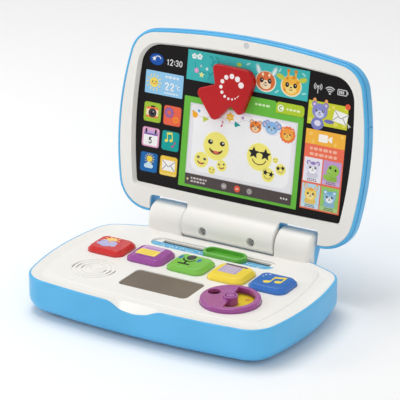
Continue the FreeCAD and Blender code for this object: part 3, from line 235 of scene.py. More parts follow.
for colour, rgb in (("red", (214, 30, 32)), ("purple", (160, 74, 160)), ("green", (126, 200, 74)),
                    ("yellow", (250, 222, 58)), ("blue", (36, 108, 196))):
    SLOT_LOOKS["key_" + colour] = plastic("key_" + colour, rgb, 0.22, 0.05, 0.05, 0.3)
for entry in frame["record"]["subparts"]:
    item = frame["nodes"][entry["node"]]
    item.data.materials.clear()
    item.data.materials.append(SLOT_LOOKS[entry["material_slot"]])


# -------- flat frames

def put(name, data):
    """A new object of the scene, from a mesh, light or camera."""
    item = bpy.data.objects.new(name, data)
    bpy.context.scene.collection.objects.link(item)
    return item


def put_mesh(name, mesh, materials):
    """A new mesh object of the scene, with its materials."""
    data = bpy.data.meshes.new(name)
    mesh.to_mesh(data)
    mesh.free()
    for material in materials:
        data.materials.append(material)
    return put(name, data)



JOINTS = {joint["name"]: joint for joint in frame["record"]["behaviour"]["joints"]}


class Plane:
    """A flat frame: origin, right, up and outward directions, all in row-frame metres."""

    def __init__(self, origin, right, up, out):
        self.origin = Vector(origin)
        self.right = Vector(right)
        self.up = Vector(up)
        self.out = Vector(out)

    def at(self, x, y, height):
        """The world point of a place given in millimetres."""
        return (self.origin + self.right * x * MM + self.up * y * MM + self.out * height * MM)


LID_OUT = Vector(JOINTS["arrow_turn"]["axis"]).normalized()
LID_UP = LID_OUT.cross(Vector((1, 0, 0)))
HINGE = Vector(JOINTS["lid_hinge"]["pos_m"])
LID = Plane(HINGE, (1, 0, 0), LID_UP, LID_OUT)


def level_plane(node):
    """Horizontal frame centred over a node, at its top face."""
    low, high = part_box(node)
    middle = (low + high) / 2
    return Plane((middle.x, middle.y, high.z), (1, 0, 0), (0, 1, 0), (0, 0, 1))


def height_on_lid(node):
    """How far a node's front stands out along the lid's normal, in millimetres."""
    best = -1.0
    for vertex in frame["nodes"][node].data.vertices:
        best = max(best, (vertex.co - HINGE).dot(LID_OUT))
    return best / MM


# -------- printed shapes

INKS = {}


def ink_of(rgb):
    """One ink material per colour."""
    if rgb not in INKS:
        INKS[rgb] = ink("ink_%02x%02x%02x" % rgb, rgb)
    return INKS[rgb]


def ring_points(x, y, rx, ry=None, start=0.0, end=360.0, count=32):
    """Points of an ellipse or of one arc of it."""
    ry = rx if ry is None else ry
    full = abs(end - start) >= 360.0
    steps = count if full else count + 1
    return [(x + rx * math.cos(math.radians(start + (end - start) * i / count)),
             y + ry * math.sin(math.radians(start + (end - start) * i / count)))
            for i in range(steps)]


def turned(points, angle, about=(0.0, 0.0)):
    """Points turned by an angle in degrees about a centre."""
    c, s = math.cos(math.radians(angle)), math.sin(math.radians(angle))
    return [(about[0] + (x - about[0]) * c - (y - about[1]) * s,
             about[1] + (x - about[0]) * s + (y - about[1]) * c) for x, y in points]


class Print:
    """A sheet of printed shapes on one flat frame, joined into one thin raised mesh.

    Sizes are in millimetres. A shape's lift is its layer: each layer stands one STEP higher.
    """

    STEP = 0.035
    SKIN = 0.02

    def __init__(self, name, plane, body, base, slot):
        self.name, self.plane, self.body, self.base = name, plane, body, base
        self.slot = slot
        self.mesh = bmesh.new()
        self.materials = []

    def shape(self, points, rgb, lift=0):
        """One filled outline, given anticlockwise or clockwise in millimetres."""
        area = sum(a[0] * b[1] - b[0] * a[1] for a, b in zip(points, points[1:] + points[:1]))
        if area < 0:
            points = points[::-1]
        material = ink_of(tuple(rgb))
        if material not in self.materials:
            self.materials.append(material)
        index = self.materials.index(material)
        high = self.base + self.STEP * (1 + lift)
        top = [self.mesh.verts.new(self.plane.at(x, y, high)) for x, y in points]
        foot = [self.mesh.verts.new(self.plane.at(x, y, self.base - self.SKIN))
                for x, y in points]
        faces = [self.mesh.faces.new(top)]
        count = len(points)
        for i in range(count):
            j = (i + 1) % count
            faces.append(self.mesh.faces.new((foot[i], foot[j], top[j], top[i])))
        for face in faces:
            face.material_index = index

    def dot(self, x, y, radius, rgb, ry=None, lift=0, count=24):
        """Filled circle, or an ellipse if a second radius is given."""
        self.shape(ring_points(x, y, radius, ry, count=count), rgb, lift)

    def card(self, x0, x1, y0, y1, rgb, corner=0.0, lift=0):
        """Rectangle, with rounded corners if a radius is given."""
        if not corner:
            self.shape([(x0, y0), (x1, y0), (x1, y1), (x0, y1)], rgb, lift)
            return
        points = []
        for x, y, start in ((x1 - corner, y0 + corner, 270), (x1 - corner, y1 - corner, 0),
                            (x0 + corner, y1 - corner, 90), (x0 + corner, y0 + corner, 180)):
            points += ring_points(x, y, corner, start=start, end=start + 90, count=6)
        self.shape(points, rgb, lift)

    def stroke(self, points, width, rgb, lift=0):
        """Open line of one width with round ends."""
        left, right = [], []
        for i, (x, y) in enumerate(points):
            x0, y0 = points[max(i - 1, 0)]
            x1, y1 = points[min(i + 1, len(points) - 1)]
            length = math.hypot(x1 - x0, y1 - y0) or 1.0
            nx, ny = -(y1 - y0) / length * width / 2, (x1 - x0) / length * width / 2
            left.append((x + nx, y + ny))
            right.append((x - nx, y - ny))
        cap = []
        for (x, y), (hx, hy) in ((points[-1], left[-1]), (points[0], right[0])):
            angle = math.degrees(math.atan2(hy - y, hx - x))
            cap.append(ring_points(x, y, width / 2, start=angle - 25, end=angle - 155, count=4))
        self.shape(left + cap[0] + right[::-1] + cap[1], rgb, lift)

    def leaf(self, x, y, rx, ry, angle, rgb, lift=0, about=None, count=20):
        """Filled ellipse turned about its centre, or about another point."""
        points = ring_points(x, y, rx, ry, count=count)
        self.shape(turned(points, angle, about or (x, y)), rgb, lift)

    def arc(self, x, y, radius, start, end, width, rgb, lift=0):
        """Curved line along part of a circle."""
        self.stroke(ring_points(x, y, radius, None, start, end, 16), width, rgb, lift)

    def star(self, x, y, radius, rgb, points=5, inner=0.48, angle=90.0, lift=0):
        """Star with its first point at an angle; inner is the notches' share of the radius."""
        spikes = []
        for i in range(points * 2):
            reach = radius if i % 2 == 0 else radius * inner
            turn = math.radians(angle + i * 180.0 / points)
            spikes.append((x + reach * math.cos(turn), y + reach * math.sin(turn)))
        self.shape(spikes, rgb, lift)

    def number(self, text, x, y, height, rgb, weight=0.17, lift=0):
        """Rounded digits drawn as strokes, starting at the lower left."""
        half = height / 2
        wide = height / 2
        line = height * weight
        for mark in text:
            if mark == ":":
                self.dot(x + line * 0.5, y + height * 0.3, line * 0.62, rgb, lift=lift)
                self.dot(x + line * 0.5, y + height * 0.7, line * 0.62, rgb, lift=lift)
                x += line * 2.2
                continue
            for path in digit_paths(mark, wide, half):
                self.stroke([(x + px, y + py) for px, py in path], line, rgb, lift)
            x += wide + line * (1.9 if mark != "1" else 1.1)

    def done(self):
        """Make the Blender piece: it rides on its body."""
        item = put_mesh(self.name, self.mesh, self.materials)
        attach(item, self.body)


def digit_paths(mark, wide, half):
    """Centre lines of a 0, 1, 2, 3 or 5 in a box of that width and twice the half height."""
    high = half * 2
    bend = wide / 2
    if mark == "0":
        return [ring_points(bend, half, bend, half, 90, 449, 24)]
    if mark == "1":
        return [[(wide * 0.12, high * 0.80), (wide * 0.5, high), (wide * 0.5, half),
                 (wide * 0.5, 0)]]
    if mark == "2":
        return [ring_points(bend, high - bend, bend, bend, 165, -35, 12) + [(wide * 0.05, 0)],
                [(0, 0), (wide, 0)]]
    if mark == "3":
        low = high * 0.28
        return [ring_points(bend, high - low * 0.92, bend * 0.92, low * 0.92, 150, -88, 12),
                ring_points(bend, low, bend, low, 88, -150, 12)]
    if mark == "5":
        low = high * 0.32
        return [[(wide * 0.9, high), (wide * 0.2, high), (wide * 0.15, high),
                 (wide * 0.10, high * 0.56)],
                ring_points(bend * 0.95, low, bend, low, 125, -150, 14)]
    raise ValueError("no strokes for the mark " + mark)


# -------- small pictures

PALE = (250, 250, 250)
DARK = (34, 30, 34)
INK_BLACK = (26, 24, 28)


def face(sheet, x, y, radius, coat, muzzle, ears, ear_inner, lift=1, kind="round", eye=0.13):
    """A plain round animal face of simple discs: two ears, a muzzle, eyes and a nose."""
    for side in (-1, 1):
        ex, ey = x + side * radius * 0.74, y + radius * 0.74
        if kind == "round":
            sheet.dot(ex, ey, radius * 0.36, ears, lift=lift)
            sheet.dot(ex, ey, radius * 0.2, ear_inner, lift=lift + 1)
        elif kind == "tall":
            sheet.leaf(ex, ey + radius * 0.25, radius * 0.27, radius * 0.62, -side * 24, ears,
                       lift, (ex, ey))
            sheet.leaf(ex, ey + radius * 0.25, radius * 0.14, radius * 0.42, -side * 24,
                       ear_inner, lift + 1, (ex, ey))
        else:
            sheet.leaf(ex + side * radius * 0.42, ey - radius * 0.18, radius * 0.46,
                       radius * 0.25, side * 18, ears, lift, (ex, ey))
    sheet.dot(x, y, radius, coat, ry=radius * 0.92, lift=lift + 2, count=32)
    sheet.dot(x, y - radius * 0.34, radius * 0.58, muzzle, ry=radius * 0.44, lift=lift + 3)
    for side in (-1, 1):
        sheet.dot(x + side * radius * 0.42, y + radius * 0.05, radius * eye, DARK, lift=lift + 4,
                  ry=radius * eye * 1.2)
        sheet.dot(x + side * radius * 0.42 + radius * 0.04, y + radius * 0.10, radius * 0.045,
                  PALE, lift=lift + 5, count=10)
    sheet.dot(x, y - radius * 0.16, radius * 0.11, DARK, ry=radius * 0.07, lift=lift + 4)
    sheet.arc(x, y - radius * 0.26, radius * 0.17, 205, 335, radius * 0.06, DARK, lift + 4)


def smiley(sheet, x, y, radius, lift=1, glasses=False, lean=0.0, laugh=True):
    """A round yellow smiling face, with star-shaped glasses if asked."""
    sheet.dot(x, y, radius * 1.06, (253, 250, 214), lift=lift, count=40)
    sheet.dot(x, y, radius, (251, 240, 122), lift=lift + 1, count=40)

    def spot(px, py):
        """A place in units of the radius, leaned with the face."""
        return turned([(x + px * radius, y + py * radius)], lean, (x, y))[0]

    for side in (-1, 1):
        ex, ey = spot(side * 0.48, 0.24)
        if glasses:
            sheet.star(ex, ey, radius * 0.47, DARK, lift=lift + 2, angle=90 + lean)
        else:
            sheet.dot(ex, ey, radius * 0.20, DARK, ry=radius * 0.17, lift=lift + 2)
            sheet.dot(ex + radius * 0.05, ey + radius * 0.05, radius * 0.06, PALE, lift=lift + 3,
                      count=10)
    if glasses:
        sheet.stroke([spot(-0.2, 0.3), spot(0.0, 0.34), spot(0.2, 0.3)], radius * 0.07, DARK,
                     lift + 2)

    def bow(level, wide, deep, angles):
        """Part of an ellipse centred at a level of the face."""
        return [spot(wide * math.cos(math.radians(t)), level + deep * math.sin(math.radians(t)))
                for t in angles]
    if laugh:
        mouth = bow(-0.14, 0.56, 0.46, range(190, 351, 16))
        back = bow(-0.14, 0.5, 0.24, range(345, 194, -15))
        sheet.shape(mouth + back, (92, 52, 34), lift + 2)
        tongue_x, tongue_y = spot(0.02, -0.44)
        sheet.dot(tongue_x, tongue_y, radius * 0.22, (232, 110, 92), ry=radius * 0.10,
                  lift=lift + 3)
    else:
        smile = bow(-0.12, 0.56, 0.44, range(195, 350, 14))
        sheet.stroke(smile, radius * 0.07, (92, 62, 34), lift + 2)


def cloud(sheet, x, y, size, rgb, lift=1):
    """Three-lobed cloud with a flat foot."""
    sheet.dot(x - size * 0.55, y, size * 0.42, rgb, lift=lift)
    sheet.dot(x + size * 0.05, y + size * 0.25, size * 0.58, rgb, lift=lift + 1)
    sheet.dot(x + size * 0.65, y, size * 0.40, rgb, lift=lift + 2)
    sheet.card(x - size * 0.62, x + size * 0.72, y - size * 0.42, y + size * 0.1, rgb,
               size * 0.2, lift + 3)


def sun(sheet, x, y, radius, rgb, ray, lift=1, spokes=10):
    """Disc with short separate rays."""
    for i in range(spokes):
        turn = math.radians(i * 360.0 / spokes)
        c, s = math.cos(turn), math.sin(turn)
        sheet.stroke([(x + radius * 1.3 * c, y + radius * 1.3 * s),
                      (x + radius * 1.65 * c, y + radius * 1.65 * s)], radius * 0.22, ray, lift)
    sheet.dot(x, y, radius, rgb, lift=lift)


def cog(sheet, x, y, radius, rgb, hole, lift=1, teeth=9):
    """Toothed wheel with a round hole."""
    points = []
    for i in range(teeth):
        for offset, reach in ((-0.34, 1.0), (-0.2, 1.22), (0.2, 1.22), (0.34, 1.0)):
            turn = math.radians((i + offset) * 360.0 / teeth)
            points.append((x + radius * reach * math.cos(turn),
                           y + radius * reach * math.sin(turn)))
    sheet.shape(points, rgb, lift)
    sheet.dot(x, y, radius * 0.46, hole, lift=lift + 1)


def note(sheet, x, y, size, rgb, double=False, lift=1, lean=8.0):
    """Music note, single or joined as a pair."""
    def tip(px, py):
        """A place in units of the size, leaned with the note."""
        return turned([(x + px * size, y + py * size)], lean, (x, y))[0]
    heads = ((-0.45, -0.6), (0.55, -0.6)) if double else ((0.0, -0.6),)
    for hx, hy in heads:
        cx, cy = tip(hx, hy)
        sheet.leaf(cx, cy, size * 0.34, size * 0.27, 22 + lean, rgb, lift, count=32)
        sheet.stroke([tip(hx + 0.28, hy), tip(hx + 0.28, 0.75)], size * 0.15, rgb, lift + 1)
    if double:
        sheet.shape([tip(-0.24, 0.84), tip(0.9, 0.84), tip(0.9, 0.5), tip(-0.24, 0.5)], rgb,
                    lift + 2)
    else:
        sheet.stroke([tip(0.28, 0.75), tip(0.5, 0.62), tip(0.62, 0.32)], size * 0.16, rgb,
                     lift + 2)


def envelope(sheet, x, y, wide, high, paper, crease, lift=1, lean=0.0):
    """Closed letter with its flap and folds."""
    def tip(px, py):
        """A place in half widths and half heights, leaned with the letter."""
        return turned([(x + px * wide / 2, y + py * high / 2)], lean, (x, y))[0]
    sheet.shape([tip(-1, -1), tip(1, -1), tip(1, 1), tip(-1, 1)], paper, lift)
    line = high * 0.075
    sheet.stroke([tip(-0.94, 0.86), tip(-0.1, -0.14), tip(0.1, -0.14), tip(0.94, 0.86)], line,
                 crease, lift + 1)
    for side in (-1, 1):
        sheet.stroke([tip(side * 0.94, -0.86), tip(side * 0.36, 0.02)], line, crease, lift + 1)


def bars(sheet, x0, x1, heights, thick, rgb, lift=1, cut=2.2):
    """Rows of short rounded dashes that stand in for writing."""
    for number, y in enumerate(heights):
        x = x0
        step = 0
        while x < x1 - cut * 0.5:
            length = cut * (0.75, 1.1, 0.9, 1.25)[(step + number) % 4]
            end = min(x + length, x1)
            sheet.card(x, end, y - thick / 2, y + thick / 2, rgb, thick * 0.4, lift)
            x = end + cut * 0.28
            step += 1


# -------- picture panel

GREEN = (104, 190, 62)
LIME = (178, 207, 44)
TEAL = (60, 186, 186)
CORAL = (244, 112, 82)
LILAC = (198, 158, 210)
GREY = (206, 206, 208)


def status_corner(sheet):
    """Round badge and the time."""
    sheet.dot(-91.6, 140.2, 7.4, (6, 58, 140), ry=5.4, count=40)
    sheet.dot(-91.6, 140.2, 6.7, (20, 84, 176), ry=4.8, lift=1, count=40)
    sheet.star(-94.2, 140.6, 2.3, PALE, lift=2)
    sheet.arc(-90.4, 140.2, 3.1, 150, 20, 0.75, PALE, 2)
    sheet.number("12:30", -80.8, 137.2, 4.9, (236, 236, 238), 0.16)


def weather_card(sheet):
    """Smiling sun, temperature and dashes."""
    sheet.card(-101.6, -62.6, 108.8, 129.6, (150, 206, 244), 1.0)
    sun(sheet, -92.6, 119.2, 4.5, (250, 224, 98), (252, 226, 120), 1, 12)
    for side in (-1, 1):
        sheet.dot(-92.4 + side * 1.7, 119.9, 0.62, DARK, lift=3)
    sheet.arc(-92.4, 119.4, 1.7, 205, 335, 0.4, (190, 80, 60), 3)
    for side in (-1, 1):
        sheet.dot(-92.4 + side * 2.9, 118.5, 0.7, (248, 176, 120), lift=3, count=12)
    bars(sheet, -81.5, -67.5, (126.0,), 2.3, (226, 240, 250), 1, 3.2)
    sheet.number("22", -80.8, 114.6, 6.0, PALE, 0.2, 1)
    sheet.arc(-69.6, 119.6, 0.7, 0, 350, 0.35, PALE, 1)
    sheet.arc(-66.8, 117.4, 1.5, 60, 300, 0.55, PALE, 1)
    bars(sheet, -81.5, -66.0, (111.4,), 1.5, (226, 240, 250), 1, 2.4)


def application_tiles(sheet):
    """Six tiles: camera, cogs, calendar, notes, weather and letter."""
    half = 8.93
    orange = (240, 102, 72)
    columns = (-91.9, -71.27)
    rows = (91.9, 68.86, 45.82)
    backs = (((164, 200, 54), orange), ((236, 170, 208), (14, 164, 160)),
             ((22, 104, 178), (246, 204, 70)))
    for y, row in zip(rows, backs):
        for x, rgb in zip(columns, row):
            sheet.card(x - half, x + half, y - half, y + half, shade(rgb, 0.9), 2.4)
            sheet.card(x - half + 0.5, x + half - 0.5, y - half + 0.5, y + half - 0.5, rgb, 2.1, 1)
    # camera
    x, y = columns[0], rows[0]
    sheet.card(x - 2.0, x + 2.4, y + 4.0, y + 6.0, DARK, 0.8, 2)
    sheet.card(x - 6.6, x + 6.2, y - 5.0, y + 4.6, (240, 128, 70), 1.6, 3)
    sheet.card(x - 6.6, x + 6.2, y - 3.2, y + 2.6, (252, 226, 188), 0.4, 4)
    sheet.dot(x, y - 0.6, 4.1, DARK, lift=5, count=32)
    sheet.dot(x, y - 0.6, 3.0, (86, 84, 96), lift=6, count=32)
    sheet.dot(x, y - 0.6, 2.3, (18, 16, 22), lift=7)
    sheet.dot(x + 0.8, y + 0.4, 0.6, (200, 206, 220), lift=8, count=12)
    # cogs
    x = columns[1]
    cog(sheet, x - 3.4, y + 2.6, 4.2, (146, 92, 160), orange, 2)
    sheet.arc(x - 3.4, y + 2.6, 3.0, 0, 359, 0.5, (176, 130, 186), 4)
    cog(sheet, x + 3.9, y - 3.2, 2.6, (248, 148, 44), orange, 2, 8)
    # calendar
    x, y = columns[0], rows[1]
    sheet.card(x - 7.2, x + 7.2, y - 7.6, y + 2.9, PALE, 1.4, 2)
    sheet.card(x - 7.0, x + 7.0, y + 2.0, y + 5.6, (138, 100, 178), 0.6, 3)
    sheet.card(x - 7.0, x + 7.0, y + 3.7, y + 5.9, (196, 172, 222), 0.5, 4)
    for side in (-1, 1):
        sheet.card(x + side * 4.9 - 0.9, x + side * 4.9 + 0.9, y + 3.6, y + 7.6, DARK, 0.8, 5)
    sheet.number("5", x - 1.5, y - 5.4, 5.2, (70, 68, 74), 0.17, 4)
    # notes
    x = columns[1]
    note(sheet, x - 2.4, y + 3.2, 5.0, (248, 232, 96), True, 2)
    note(sheet, x + 2.9, y - 2.6, 3.6, (206, 66, 142), False, 2, -12)
    # weather
    x, y = columns[0], rows[2]
    sun(sheet, x + 0.6, y + 3.2, 2.9, (250, 220, 70), (250, 220, 70), 2, 12)
    cloud(sheet, x - 0.2, y - 3.4, 4.6, (206, 232, 246), 4)
    # letter
    x = columns[1]
    envelope(sheet, x, y + 0.4, 13.4, 9.6, (252, 251, 248), (150, 148, 156), 2)
    sheet.card(x - half + 0.5, x + half - 0.5, y - half + 0.5, y - 6.9, (252, 222, 120), 0.6, 2)


def banner(sheet):
    """Strip with plants, flowers and two animal faces."""
    sheet.card(-60.0, 61.6, 127.8, 154.6, TEAL)
    stalk, mint, frost = (24, 148, 156), (170, 226, 224), (238, 250, 248)
    for x0, bend in ((-38.0, 9.0), (-28.0, -7.0)):
        stem = [(x0 + bend * math.sin(t / 7.0), 131.0 + t * 1.9) for t in range(11)]
        sheet.stroke(stem, 0.8, stalk, 1)
        for step, (px, py) in enumerate(stem[2::2]):
            side = 1 if step % 2 else -1
            sheet.leaf(px + side * 1.9, py, 1.9, 0.85, side * 35, (30, 160, 160), 2, (px, py), 14)
    sheet.stroke([(-52.5, 144.0), (-51.5, 140.0), (-47.0, 137.0), (-40.0, 136.0)], 0.7,
                 stalk, 1)
    for x, y, size, petal, heart in ((-53.4, 149.3, 2.4, frost, mint),
                                     (-48.0, 149.6, 2.6, frost, mint),
                                     (-50.2, 137.0, 2.2, (228, 158, 206), (250, 214, 234)),
                                     (-39.8, 139.8, 1.3, (222, 240, 246), mint)):
        for turn in range(5):
            px = x + size * 0.62 * math.cos(math.radians(90 + 72 * turn))
            py = y + size * 0.62 * math.sin(math.radians(90 + 72 * turn))
            sheet.dot(px, py, size * 0.5, petal, lift=2 + turn % 2, count=14)
        sheet.dot(x, y, size * 0.34, heart, lift=4, count=14)
    sheet.star(-44.8, 133.8, 2.9, (238, 244, 150), lift=2)
    sheet.star(-46.0, 141.6, 1.3, (250, 208, 226), 4, 0.4, lift=2)
    sheet.dot(-8.0, 149.0, 2.4, (180, 212, 70), ry=1.8, lift=1)
    for x, y, tilt in ((1.0, 151.0, 30), (5.0, 133.0, -20), (32.5, 150.8, 60), (57.5, 134.0, 15),
                       (56.0, 150.5, -35), (31.0, 131.5, 40)):
        sheet.leaf(x, y, 2.4, 1.0, tilt, (150, 222, 214), 1, count=16)
    for x, y, rgb, belly, ears, inner, kind in (
            (19.4, 139.0, (224, 112, 58), (252, 226, 190), (150, 206, 208), (226, 240, 236), "tall"),
            (44.6, 139.0, (248, 186, 62), (252, 222, 132), (196, 206, 74), (232, 226, 120), "wide")):
        sheet.dot(x, y - 0.4, 10.3, (250, 238, 210), ry=9.3, lift=1, count=36)
        if kind == "wide":
            for side in (-1, 1):
                sheet.card(x + side * 3.6 - 0.9, x + side * 3.6 + 0.9, y + 7.0, y + 12.6,
                           (246, 176, 50), 0.8, 2)
                sheet.dot(x + side * 3.6, y + 12.8, 1.6, (224, 140, 40), lift=3, count=16)
        face(sheet, x, y, 9.2, rgb, belly, ears, inner, 3, kind, 0.2)
    for x, y, size in ((40.0, 145.0, 1.6), (46.5, 146.4, 1.9), (50.6, 142.6, 1.4), (38.6, 134.6, 1.3)):
        sheet.dot(x, y, size, (226, 142, 38), ry=size * 0.8, lift=6, count=14)
    for side in (-1, 1):
        sheet.dot(19.4 + side * 3.2, 144.6, 1.1, (252, 226, 190), ry=1.6, lift=6, count=14)


def window(sheet):
    """Window with two tabs, a page and a dark bar of buttons."""
    sheet.card(-60.0, 59.6, 31.0, 113.0, GREEN, 0.6)
    sheet.card(-28.0, 32.0, 110.0, 123.2, GREEN, 2.6, 1)
    sheet.card(-28.0, 59.6, 106.0, 113.0, GREEN, 0.0, 2)
    sheet.card(31.8, 59.6, 113.2, 123.2, LIME, 3.0, 3)
    sheet.card(31.8, 59.0, 113.2, 117.0, LIME, 0.0, 4)
    bars(sheet, 11.0, 27.5, (117.3,), 2.0, (214, 238, 190), 3, 3.0)
    sheet.dot(36.4, 117.8, 3.1, (246, 250, 224), lift=5)
    sheet.arc(36.6, 117.8, 1.5, 60, 300, 0.9, (128, 176, 40), 6)
    bars(sheet, 42.0, 57.0, (117.8,), 2.0, (236, 244, 190), 5, 2.8)
    sheet.card(-53.4, 54.6, 43.4, 107.6, (226, 224, 230), 0.4, 4)
    sheet.card(-52.2, 53.4, 44.4, 106.6, (238, 237, 242), 3.0, 5)
    sheet.card(-49.0, 50.0, 46.8, 104.6, (250, 250, 252), 9.0, 6)
    sheet.card(-53.4, 54.2, 33.6, 43.6, (80, 70, 70), 0.4, 7)
    sheet.dot(-50.6, 38.4, 1.0, (236, 226, 160), lift=8, count=14)
    bars(sheet, -47.4, -31.0, (39.9, 37.0), 1.7, (206, 200, 198), 8, 2.4)
    sheet.dot(-13.2, 38.4, 2.8, (164, 158, 158), lift=8)
    sheet.dot(0.2, 38.4, 3.0, (238, 92, 66), lift=8)
    sheet.dot(12.6, 38.4, 2.8, (150, 144, 144), lift=8)
    sheet.card(-14.4, -12.0, 37.5, 39.3, (200, 196, 196), 0.4, 9)
    sheet.card(-1.1, 1.5, 37.6, 39.2, (250, 190, 172), 0.4, 9)
    sheet.arc(12.6, 38.4, 1.4, 0, 350, 0.5, (200, 196, 196), 9)
    for x in (44.4, 47.1, 49.8):
        sheet.dot(x, 38.5, 0.85, (232, 230, 230), lift=8, count=14)


def string_of_shapes(sheet):
    """Paper shapes on a string across the top of the page."""
    string = [(-52.0 + t * 3.4, 101.0 - 5.0 * math.sin(math.pi * (t + 0.6) / 8.5) ** 2)
              for t in range(21)]
    sheet.stroke(string, 0.3, (196, 192, 204), 7)
    sheet.dot(-48.0, 97.2, 2.7, (250, 176, 36), lift=8)
    sheet.dot(-49.6, 99.6, 1.3, (250, 176, 36), lift=9, count=14)
    sheet.dot(-44.3, 101.4, 1.4, (120, 178, 226), lift=8, count=14)
    sheet.shape([(-40.0, 97.4), (-33.6, 95.6), (-39.2, 92.0)], (196, 214, 66), 8)
    note(sheet, -20.8, 93.8, 3.2, (212, 66, 116), False, 8)
    sheet.star(-12.6, 101.2, 4.6, (250, 188, 40), 6, 0.6, lift=8)
    sheet.dot(-12.6, 101.2, 1.8, (252, 214, 96), lift=9, count=16)
    sheet.shape([(-7.4, 98.4), (-1.4, 95.6), (-7.0, 93.0), (-7.8, 95.6)], (20, 160, 156), 8)
    sheet.dot(0.0, 102.6, 1.5, (190, 160, 208), lift=8, count=14)


def animal_heads(sheet):
    """Three small animal heads on the page."""
    stripe, mane = (120, 60, 40), (240, 120, 62)
    ear, ear_inner = (112, 164, 220), (206, 190, 218)
    sheet.dot(13.4, 97.2, 7.2, (244, 242, 246), ry=6.6, lift=7, count=30)
    face(sheet, 13.4, 97.0, 5.7, (242, 132, 48), (252, 214, 168), (206, 160, 140),
         (244, 206, 180), 8, "round", 0.15)
    for side in (-1, 1):
        for y in (98.9, 96.6):
            sheet.card(13.4 + side * 4.4 - 0.8, 13.4 + side * 4.4 + 0.8, y - 0.3, y + 0.3,
                       stripe, 0.25, 12)
    sheet.card(12.9, 13.9, 99.8, 102.0, stripe, 0.4, 12)
    sheet.dot(29.4, 98.8, 9.0, (240, 240, 248), ry=7.2, lift=7, count=30)
    for side in (-1, 1):
        sheet.dot(29.4 + side * 6.6, 101.2, 3.1, ear, lift=8)
        sheet.dot(29.4 + side * 6.6, 101.2, 1.9, ear_inner, lift=9)
    face(sheet, 29.4, 98.8, 6.1, (136, 184, 232), (176, 210, 242), ear,
         ear_inner, 9, "round", 0.15)
    petals = 14
    for turn in range(petals):
        sheet.dot(45.4 + 6.1 * math.cos(2 * math.pi * turn / petals),
                  95.6 + 5.9 * math.sin(2 * math.pi * turn / petals), 1.75, mane,
                  lift=7 + turn % 2, count=14)
    face(sheet, 45.4, 95.6, 5.9, (248, 160, 62), (252, 206, 96), mane,
         (250, 180, 120), 9, "round", 0.13)


def smiling_faces(sheet):
    """Smiling faces: a plain group, and a group with star-shaped glasses."""
    smiley(sheet, -24.2, 72.8, 12.6, 7)
    smiley(sheet, -38.2, 58.0, 7.0, 7, lean=-8)
    smiley(sheet, -17.2, 56.2, 5.0, 7, lean=10)
    smiley(sheet, -26.8, 50.4, 3.6, 7, laugh=False)
    smiley(sheet, 19.6, 71.0, 12.2, 7, True, laugh=False)
    smiley(sheet, 29.6, 56.6, 6.2, 7, True, -8, laugh=False)
    smiley(sheet, 41.6, 63.6, 5.0, 7, True, 10, laugh=False)
    smiley(sheet, 35.8, 71.0, 2.7, 7, laugh=False)


def status_marks(sheet):
    """Signal, wireless and battery marks."""
    sheet.stroke([(70.6, 137.2), (70.6, 142.6)], 0.8, GREY)
    sheet.dot(70.6, 142.8, 1.1, GREY, lift=1, count=16)
    for side in (0, 180):
        for reach in (2.3, 3.7):
            sheet.arc(70.6, 142.8, reach, side - 42, side + 42, 0.75, GREY)
    sheet.dot(82.3, 138.4, 0.95, GREY, count=16)
    for reach in (2.3, 4.1, 5.9):
        sheet.arc(82.3, 138.2, reach, 48, 132, 0.95, GREY)
    sheet.card(89.4, 98.8, 138.6, 144.0, GREY, 1.0)
    sheet.card(98.6, 99.8, 140.1, 142.5, GREY, 0.3)
    sheet.card(90.2, 98.0, 139.4, 143.2, (34, 30, 30), 0.6, 1)
    for i in range(3):
        sheet.card(90.9 + i * 1.75, 92.25 + i * 1.75, 140.0, 142.6, GREY, 0.2, 2)


def mail_card(sheet):
    """Animal with a letter on a dotted card."""
    violet = (124, 128, 196)
    sheet.card(63.0, 101.6, 109.4, 130.0, (206, 210, 48))
    for x, y, size in ((66.5, 125.5, 2.1), (87.0, 127.2, 1.7), (90.5, 112.6, 2.3), (66.0, 113.2, 1.9),
                       (98.6, 112.4, 1.5), (83.6, 124.6, 1.3), (99.0, 127.4, 1.5)):
        sheet.dot(x, y, size, (232, 224, 96), ry=size * 0.85, lift=1, count=16)
    for side in (-1, 1):
        sheet.dot(74.2 + side * 5.6, 130.6, 1.7, (236, 164, 96), ry=2.2, lift=2, count=16)
    sheet.dot(73.0, 110.6, 6.0, violet, ry=5.6, lift=3, count=30)
    sheet.card(66.8, 79.4, 109.4, 111.2, violet, 0.4, 4)
    sheet.dot(84.0, 114.0, 4.8, (112, 114, 186), ry=1.7, lift=3, count=20)
    face(sheet, 74.4, 121.6, 7.4, (138, 140, 204), (210, 212, 240), violet,
         (226, 196, 224), 4, "round", 0.13)
    sheet.dot(73.2, 111.0, 3.2, (226, 222, 240), ry=2.6, lift=8, count=20)
    envelope(sheet, 94.6, 119.4, 13.6, 9.8, (250, 250, 246), (158, 158, 150), 5, -10)
    sheet.dot(100.8, 129.8, 2.5, (238, 92, 58), lift=6)
    sheet.shape([(101.8, 115.4), (103.0, 111.2), (104.0, 112.6), (105.4, 112.8)], GREY, 5)


